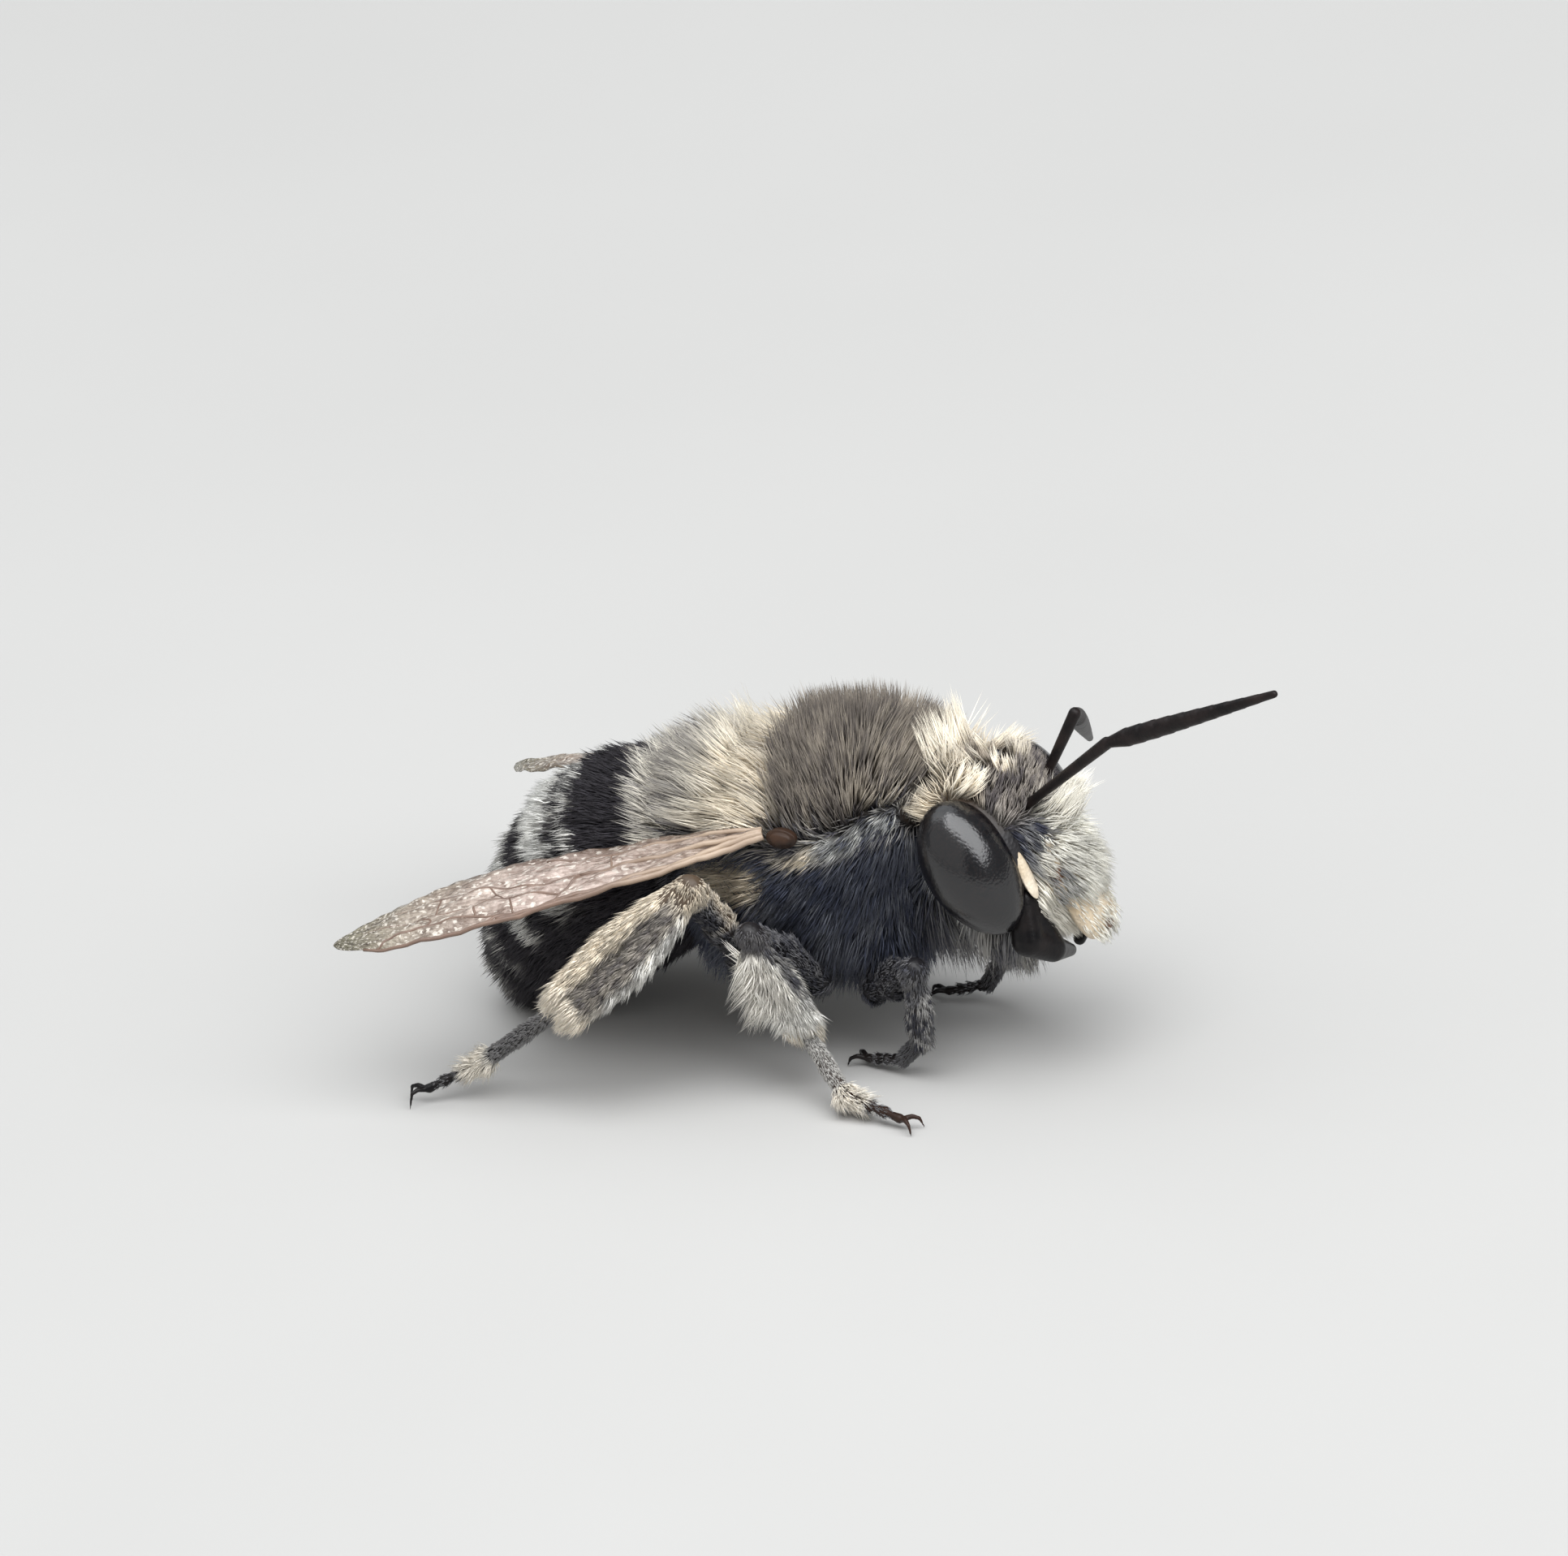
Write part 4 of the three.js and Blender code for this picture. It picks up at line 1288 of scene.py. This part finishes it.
jawShape = {
    "cheek": (0.5, 1.12, -0.86),  # in the head's frame
    "radii": (0.26, 0.33, 0.27, 0.13),  # at the cheek, base, middle and point
    "sag": (0.12, 0.12, 0),
    "fuse": {"voxel": 0.035, "smoothing": 5},
}
for side in sides:
    base, point = sorted(nodeEnds(f"mandible_{side}"), key=lambda end: -abs(end.y))
    cheek = inHead(*mirrored(jawShape["cheek"], side))
    middle = base.lerp(point, 0.5) + Vector(mirrored(jawShape["sag"], side))
    a, b, c, d = jawShape["radii"]
    parts = addChain("jaw", (cheek, base, middle), (a, b, c))
    parts += addChain("jaw", (cheek, middle, point), (a, c, d))
    jaw = joined("jaw" + side.title(), parts)
    fuse(jaw, **jawShape["fuse"])
    settle(jaw, blackShell, "shell", f"mandible_{side}")

ocellusShape = {"dome": (0.15, 0.13, 0.13), "ring": 0.135, "thick": 0.026, "sunk": 0.03}


def addOcellus(place):
    # a small dome in a low ring, facing away from the middle of the head
    middle = inHead(*place)
    way = (middle - headCentre).normalized()
    dome = addBall("ocelli", middle, ocellusShape["dome"], headTilt, 24, 16)
    clearSelection()
    bpy.ops.mesh.primitive_torus_add(
        major_segments=28, minor_segments=8,
        major_radius=ocellusShape["ring"], minor_radius=ocellusShape["thick"],
        location=middle - way * ocellusShape["sunk"], rotation=way.to_track_quat("Z", "Y").to_euler())
    return [dome, placed("ocelli")]


parts = [part for place in ocelli for part in addOcellus(place)]
settle(joined("ocelli", parts), eyeShell, "eye")

feelerShape = {
    "scape": (0.085, 0.125),  # radii at its root and end
    "pedicel": (0.1, 0.13),
    "rings": 11,
    "radii": [(0, 0.14), (0.08, 0.19), (0.3, 0.185), (0.65, 0.135), (1, 0.075)],  # along the lash
    "ringShare": 0.94,  # of a ring's room that it fills
    "waist": 0.93,  # how much narrower a ring starts
    "sunk": 0.05,  # how far the root stands in the head
    "fuse": {"voxel": 0.026, "smoothing": 2},
}
for side in sides:
    base, elbow = endsFrom(f"antenna_{side}_scape", headCentre)
    lashStart, tip = endsFrom(f"antenna_{side}_flagellum", elbow)
    elbow = (elbow + lashStart) / 2
    base = base.lerp(headCentre, feelerShape["sunk"])
    pedicel = elbow.lerp(tip, 0.05)
    parts = [addLimb("feeler", base, elbow, *feelerShape["scape"]),
             addLimb("feeler", elbow, pedicel, *feelerShape["pedicel"])]
    shares, radii = zip(*feelerShape["radii"])
    for i in range(feelerShape["rings"]):
        a, b = i / feelerShape["rings"], (i + feelerShape["ringShare"]) / feelerShape["rings"]
        first, last = np.interp([a, b], shares, radii)
        first = first * feelerShape["waist"]
        parts.append(addTaper("feeler", pedicel.lerp(tip, a), pedicel.lerp(tip, b), first, last, 18))
    parts.append(addBall("feeler", tip, (radii[-1],) * 3, 0, 16, 10))
    feeler = joined("feeler" + side.title(), parts)
    fuse(feeler, **feelerShape["fuse"])
    settle(feeler, feelerShell, "shell", f"antenna_{side}_scape", f"antenna_{side}_flagellum")
print("head pieces ready")


# Feet

footShape = {
    "radii": (0.13, 0.16, 0.14),  # at the ankle, middle and heel
    "toe": 0.12,  # height of the last joint
    "toeShare": 0.72,  # of the way to the claws' tips
    "joints": 4,
    "jointShare": 0.92,
    "low": 0.13,  # least height of a joint
    "cone": (0.065, 0.125, 0.1),  # start of each joint, its end, and the last one's end
    "knob": 0.085,
    "spread": 30,  # degrees of each claw from straight ahead
    "claw": [(0, 0), (0.2, 0.06), (0.34, 0.02), (0.42, 0)],  # ahead and up
    "clawRadii": (0.06, 0.052, 0.038, 0.016),
    "clawTip": 0.03,
    "fuse": {"voxel": 0.026, "smoothing": 2},
}
footRoots = {"right": [], "left": []}


def addClaw(end, ahead, angle):
    way = Matrix.Rotation(math.radians(angle), 3, "Z") @ ahead
    places = [end + way * out + up * high for out, high in footShape["claw"]]
    places[-1].z = footShape["clawTip"]
    return addChain("claw", places, footShape["clawRadii"], 12)


for (leg, side), chain in joints.items():
    ankle, heel, tip = chain[3:6]
    tip = Vector((tip.x, tip.y, footShape["toe"]))
    end = heel.lerp(tip, footShape["toeShare"])
    parts = addChain("foot", (ankle, ankle.lerp(heel, 0.5), heel), footShape["radii"])
    for i in range(footShape["joints"]):
        shares = (0, footShape["jointShare"])
        a, b = (heel.lerp(end, (i + share) / footShape["joints"]) for share in shares)
        a.z, b.z = (max(place.z, footShape["low"]) for place in (a, b))
        start, wide, narrow = footShape["cone"]
        parts.append(addTaper("foot", a, b, start, wide if i < footShape["joints"] - 1 else narrow, 16))
        parts.append(addBall("foot", b, (footShape["knob"],) * 3, 0, 12, 8))
    ahead = Vector((tip.x - heel.x, tip.y - heel.y, 0)).normalized()
    for angle in (-footShape["spread"], footShape["spread"]):
        parts += addClaw(end, ahead, angle)
    foot = joined(f"foot{leg.title()}{side.title()}", parts)
    fuse(foot, **footShape["fuse"])
    footSurface = surfaceOf(foot)
    fieldsOf = partial(footFields, leg, side)
    roots = sampleRoots(rng, footSurface, fieldsOf, np.arange(len(footSurface[2])), bareForms)
    third = legNames.index(leg)
    roots["unwrap"] = (roots["unwrap"] + (third, 0)) / (3, 1)  # three feet side by side
    footRoots[side].append(roots)
    settle(foot, footShell if leg == "middle" else blackShell, "shell", f"leg_{leg}_{side}_basitarsus",
           f"leg_{leg}_{side}_tarsus")
for side, feet in footRoots.items():
    roots = {key: np.concatenate([foot[key] for foot in feet]) for key in feet[0]}
    growCoat(f"coat{side.title()}Feet", roots, legCoat, "leg_coat", 40)
print("feet ready")


# Wings

wingShape = {
    "length": 8.65,
    "hindShare": 0.72,
    "root": (-0.05, 2.1, 1.3),  # from the thorax's centre, on the left
    "right": {"tip": (-7.67, 5.65, -0.4), "tilt": 1},
    "left": {"tip": (-7.75, 4.4, -0.85), "tilt": 19},
    "twist": 26,  # how much more the wing is tilted at its root
    "twistEnd": 0.38,
    "capStart": 0.8,  # where the round tip begins
    "hindOffset": (-0.5, -0.1, -0.05),
    "hindDrop": 0.16,
    "grid": (110, 36),
    "thickness": 0.03,
    "camber": (0.1, 0.12),  # the rise in the middle, and the droop at the rear towards the tip
    "longFolds": (0.035, 5, 19),  # height, then turns by share of the length and of the width
    "crossFolds": (0.025, 41, 23),
    "fineFolds": (0.012, 97, -31),
    "forewing": {
        "leading": [(0, -0.02), (0.3, -0.25), (0.65, -0.2), (0.88, 0.05), (1, 0.3)],
        "trailing": [(0, 0.22), (0.25, 1.1), (0.48, 1.9), (0.66, 2.15), (0.82, 1.95), (1, 1.35)],
    },
    "hindwing": {
        "leading": [(0, -0.02), (0.4, -0.02), (0.8, 0.08), (1, 0.3)],
        "trailing": [(0, 0.36), (0.12, 0.6), (0.3, 1.2), (0.5, 1.55), (0.75, 1.45), (1, 1.0)],
    },
}
wingVeins = {  # places by share of the length and of the width from the front edge, then radii at both ends
    "forewing": [
        ([(0, 0.1), (0.2, 0.02), (0.55, 0.01), (0.8, 0.01), (0.93, 0.0)], 0.075, 0.03),  # front edge
        ([(0, 0.3), (0.15, 0.14), (0.35, 0.09), (0.56, 0.06), (0.62, 0.03)], 0.07, 0.05),  # radius
        ([(0.575, 0.05), (0.61, 0.07), (0.645, 0.04)], 0.055, 0.04),  # dark spot at the front edge
        ([(0.61, 0.07), (0.68, 0.17), (0.8, 0.19), (0.87, 0.12), (0.9, 0.02)], 0.034, 0.028),
        ([(0, 0.42), (0.12, 0.36), (0.3, 0.36), (0.42, 0.38)], 0.07, 0.045),  # middle stem
        ([(0.42, 0.38), (0.45, 0.24), (0.5, 0.09)], 0.036, 0.032),
        ([(0.47, 0.18), (0.55, 0.27), (0.68, 0.33), (0.8, 0.36), (0.93, 0.44)], 0.034, 0.018),
        ([(0.42, 0.38), (0.54, 0.44), (0.63, 0.54), (0.75, 0.6), (0.86, 0.72)], 0.036, 0.018),
        ([(0.58, 0.08), (0.585, 0.28)], 0.028, 0.028),
        ([(0.665, 0.15), (0.67, 0.33)], 0.028, 0.028),
        ([(0.78, 0.19), (0.77, 0.27), (0.79, 0.36)], 0.028, 0.028),
        ([(0.6, 0.3), (0.63, 0.54)], 0.026, 0.026),
        ([(0.76, 0.35), (0.745, 0.6)], 0.026, 0.026),
        ([(0, 0.72), (0.15, 0.72), (0.34, 0.74), (0.5, 0.86)], 0.06, 0.03),  # rear vein
        ([(0.35, 0.37), (0.345, 0.74)], 0.03, 0.03),
    ],
    "hindwing": [
        ([(0, 0.12), (0.3, 0.04), (0.7, 0.02), (0.9, 0.05)], 0.06, 0.025),
        ([(0, 0.45), (0.3, 0.4), (0.6, 0.5), (0.85, 0.62)], 0.045, 0.02),
        ([(0, 0.8), (0.3, 0.8), (0.5, 0.9)], 0.04, 0.02),
    ],
}


def smoothEdge(edge, shares):
    # a curve through an edge's places, by their share of the length
    xs, ys = np.array(edge).T
    slopes = np.gradient(ys, xs)
    slopes[-1] = slopes[-2]
    index = np.clip(np.searchsorted(xs, shares, side="right") - 1, 0, len(xs) - 2)
    wide = xs[index + 1] - xs[index]
    s = np.clip((shares - xs[index]) / wide, 0, 1)
    return ((2 * s ** 3 - 3 * s ** 2 + 1) * ys[index] + (s ** 3 - 2 * s ** 2 + s) * wide * slopes[index]
            + (3 * s ** 2 - 2 * s ** 3) * ys[index + 1] + (s ** 3 - s ** 2) * wide * slopes[index + 1])


def wingBasis(kind, side):
    shape = wingShape[side]
    sign = sides[side]
    root, tip = (thoraxCentre + Vector(mirrored(place, side)) for place in (wingShape["root"], shape["tip"]))
    along = (tip - root).normalized()
    level = up.cross(along).normalized()
    if level.y * sign > 0:
        level.negate()
    normal = along.cross(level).normalized()
    if normal.z < 0:
        normal.negate()
    tilt = math.radians(shape["tilt"])
    chord = level * math.cos(tilt) + normal * math.sin(tilt)
    normal = normal * math.cos(tilt) - level * math.sin(tilt)
    if kind == "hindwing":
        root = root + Vector(mirrored(wingShape["hindOffset"], side)) - normal * wingShape["hindDrop"]
    return root, along, chord, normal


def wingFolds(kind, share, width):
    height, along, across = wingShape[kind + "Folds"]
    return height * np.sin(share * along + width * across)


def onWing(kind, side, share, width):
    # where a place on the wing's middle surface is, by shares of its length and width
    root, along, chord, normal = (np.array(value) for value in wingBasis(kind, side))
    length = wingShape["length"] * (wingShape["hindShare"] if kind == "hindwing" else 1)
    front = smoothEdge(wingShape[kind]["leading"], share)
    back = smoothEdge(wingShape[kind]["trailing"], share)
    capShare = np.clip((share - wingShape["capStart"]) / (1 - wingShape["capStart"]), 0, 1)
    closing = 1 - np.sqrt(1 - capShare ** 2.4)
    front, back = (edge + ((front + back) / 2 - edge) * closing for edge in (front, back))
    arch, droop = wingShape["camber"]
    camber = arch * np.sin(width * math.pi) - droop * width ** 2 * share
    folds = wingFolds("long", share, width) * np.sqrt(np.clip(share * 3, 0, 1))
    folds += wingFolds("cross", share, width) + wingFolds("fine", share, width)
    camber, folds = camber * (1 - closing), folds * (1 - closing)
    across = front + (back - front) * width
    twist = math.radians(wingShape["twist"]) * np.clip(1 - share / wingShape["twistEnd"], 0, 1) ** 1.5
    rise = across * np.sin(twist) + (camber + folds) * np.cos(twist)
    run = across * np.cos(twist) - (camber + folds) * np.sin(twist)
    return root + np.outer(share * length, along) + np.outer(run, chord) + np.outer(rise, normal)


def addTube(name, path, radii, corners=6):
    # a closed round tube along a row of places
    steps = len(path)
    ways = unit(np.gradient(path, axis=0))
    side = unit(np.cross(ways, np.array([0.1, 0.2, 1.0])))
    other = np.cross(side, ways)
    angles = np.arange(corners) * 2 * math.pi / corners
    ring = np.cos(angles)[None, :, None] * side[:, None] + np.sin(angles)[None, :, None] * other[:, None]
    points = (path[:, None] + ring * np.asarray(radii)[:, None, None]).reshape(-1, 3)
    faces = []
    for start in range(0, (steps - 1) * corners, corners):
        for k in range(corners):
            after = (k + 1) % corners
            faces.append((start + k, start + after, start + corners + after, start + corners + k))
    faces.append(tuple(reversed(range(corners))))
    faces.append(tuple((steps - 1) * corners + k for k in range(corners)))
    mesh = bpy.data.meshes.new(name)
    mesh.from_pydata(points.tolist(), [], faces)
    return faceOut(addObject(name, mesh))


def makeWing(kind, side):
    clearSelection()
    columns, rows = wingShape["grid"]
    bpy.ops.mesh.primitive_grid_add(x_subdivisions=columns, y_subdivisions=rows, size=2)
    piece = placed(kind + side.title())
    points = getPoints(piece.data)
    share = 1 - (1 - (points[:, 0] + 1) / 2) ** 1.5
    setPoints(piece.data, onWing(kind, side, share, (points[:, 1] + 1) / 2))
    uv = piece.data.uv_layers.active or piece.data.uv_layers.new()
    uv.name = "wingMap"
    modified(piece, "SOLIDIFY", thickness=wingShape["thickness"], offset=0)
    settle(faceOut(piece), wingMembrane, "wing", f"{kind}_{side}")
    tubes = []
    for places, first, last in wingVeins[kind]:
        steps = np.linspace(0, 1, 8 * len(places))
        knots = np.linspace(0, 1, len(places))
        share, width = (smoothEdge(list(zip(knots, values)), steps) for values in np.array(places).T)
        path = onWing(kind, side, share, width)
        tubes.append(addTube("vein", path, np.linspace(first, last, len(steps))))
    settle(joined(f"{kind}{side.title()}Veins", tubes), veinShell, "wing")


capShape = {
    "radii": (0.3, 0.2, 0.2),
    "bow": 0.25,
    "slope": 0.3,  # lower towards the front
    "swell": (0.12, 0.35, 0.12),  # height, place outwards and half width
    "groove": (0.1, 0.55, 0.1),
}
for side in sides:
    makeWing("forewing", side)
    makeWing("hindwing", side)
    cap = addBall("hingeCap" + side.title(), (0, 0, 0), (1, 1, 1), 0, 48, 32)
    points = getPoints(cap.data)
    outward = sides[side] * points[:, 1]
    swell, groove = (high * ridge(outward, middle, half)
                     for high, middle, half in (capShape["swell"], capShape["groove"]))
    points[:, 0] += capShape["bow"] * points[:, 2] ** 2
    points *= (1 + swell - groove)[:, None]
    points[:, 2] *= 1 - capShape["slope"] * points[:, 0]
    setShaped(cap, points, capShape["radii"], 0, boxCentre(f"tegula_{side}"))
    settle(cap, brownShell, "shell", f"tegula_{side}")
print("wings ready")


# Floor, light and camera

floorLook = {"size": 1.2, "dark": colour(177, 176, 174), "light": colour(184, 183, 181)}


def makeFloor():
    clearSelection()
    bpy.ops.mesh.primitive_plane_add(size=floorLook["size"])
    floor = placed("floor")
    material, tree, shader = newMaterial("paleFloor", 0.75)
    noise = noiseOf(tree, objectPlace(tree), 0.05, 3.0)
    shown = mixColour(tree, noise, floorLook["dark"], floorLook["light"])
    tree.links.new(shown, shader.inputs["Base Color"])
    floor.data.materials.append(material)


def addLight(name, look):
    clearSelection()
    target = thoraxCentre * mm
    place = target + Vector(look["from"]).normalized() * look["distance"]
    bpy.ops.object.light_add(type="AREA", location=place)
    light = bpy.context.object
    light.name = name
    turn = (target - place).to_track_quat("-Z", "Y").to_matrix()
    light.rotation_euler = (turn @ Matrix.Rotation(math.radians(look["roll"]), 3, "Z")).to_euler()
    light.data.shape = "RECTANGLE"
    light.data.size, light.data.size_y = look["size"]
    light.data.energy = look["power"]
    light.data.color = look["tint"]


def makeCamera():
    view = {
        "azimuth": 27, "elevation": 25, "roll": 7,
        "distance": 170,
        "span": 30.19,  # what the frame's width takes in at the aim point
        "shift": (0.92, -1.43),  # where the aim point stands in the frame: right and up of its middle
        "aim": (0.3, 0, 0),  # from the thorax's centre
        "clip": (0.001, 10),
    }
    aim = thoraxCentre + Vector(view["aim"])
    azimuth, elevation, roll = (math.radians(view[key]) for key in ("azimuth", "elevation", "roll"))
    back = Vector((math.sin(azimuth) * math.cos(elevation), -math.cos(azimuth) * math.cos(elevation),
                   math.sin(elevation)))
    level = Vector((math.cos(azimuth), math.sin(azimuth), 0))
    upright = back.cross(level)
    right = level * math.cos(roll) - upright * math.sin(roll)
    top = level * math.sin(roll) + upright * math.cos(roll)
    place = aim + back * view["distance"]
    place -= right * view["shift"][0] + top * view["shift"][1]
    camera = addObject("camera", bpy.data.cameras.new("camera"))
    turn = Matrix((right, top, back)).transposed().to_4x4()
    camera.matrix_world = Matrix.Translation(place * mm) @ turn
    camera.data.sensor_width = 36
    camera.data.lens = camera.data.sensor_width * view["distance"] / view["span"]
    camera.data.clip_start, camera.data.clip_end = view["clip"]
    bpy.context.scene.camera = camera


makeFloor()
studioLights = {
    "skyWindow": {"from": (0.42, -0.25, 0.87), "distance": 0.4, "size": (0.72, 0.33), "power": 3.4,
                  "tint": (0.97, 0.985, 1), "roll": -58},
    "softKey": {"from": (-0.3, -0.7, 0.62), "distance": 0.4, "size": (0.8, 0.6), "power": 0.7,
                "tint": (1, 0.98, 0.96), "roll": 0},
    "backFill": {"from": (-0.55, 0.2, 1), "distance": 0.5, "size": (0.5, 0.5), "power": 0.95,
                 "tint": (0.93, 0.97, 1), "roll": 0},
}
for name, look in studioLights.items():
    addLight(name, look)
skyLook = {"Color": (0.86, 0.88, 0.9, 1), "Strength": 0.28}
world = bpy.data.worlds.new("studio")
bpy.context.scene.world = world
world.use_nodes = True
for socket, value in skyLook.items():
    world.node_tree.nodes["Background"].inputs[socket].default_value = value
bpy.context.scene.view_settings.view_transform = "Standard"
makeCamera()
print("scene ready")
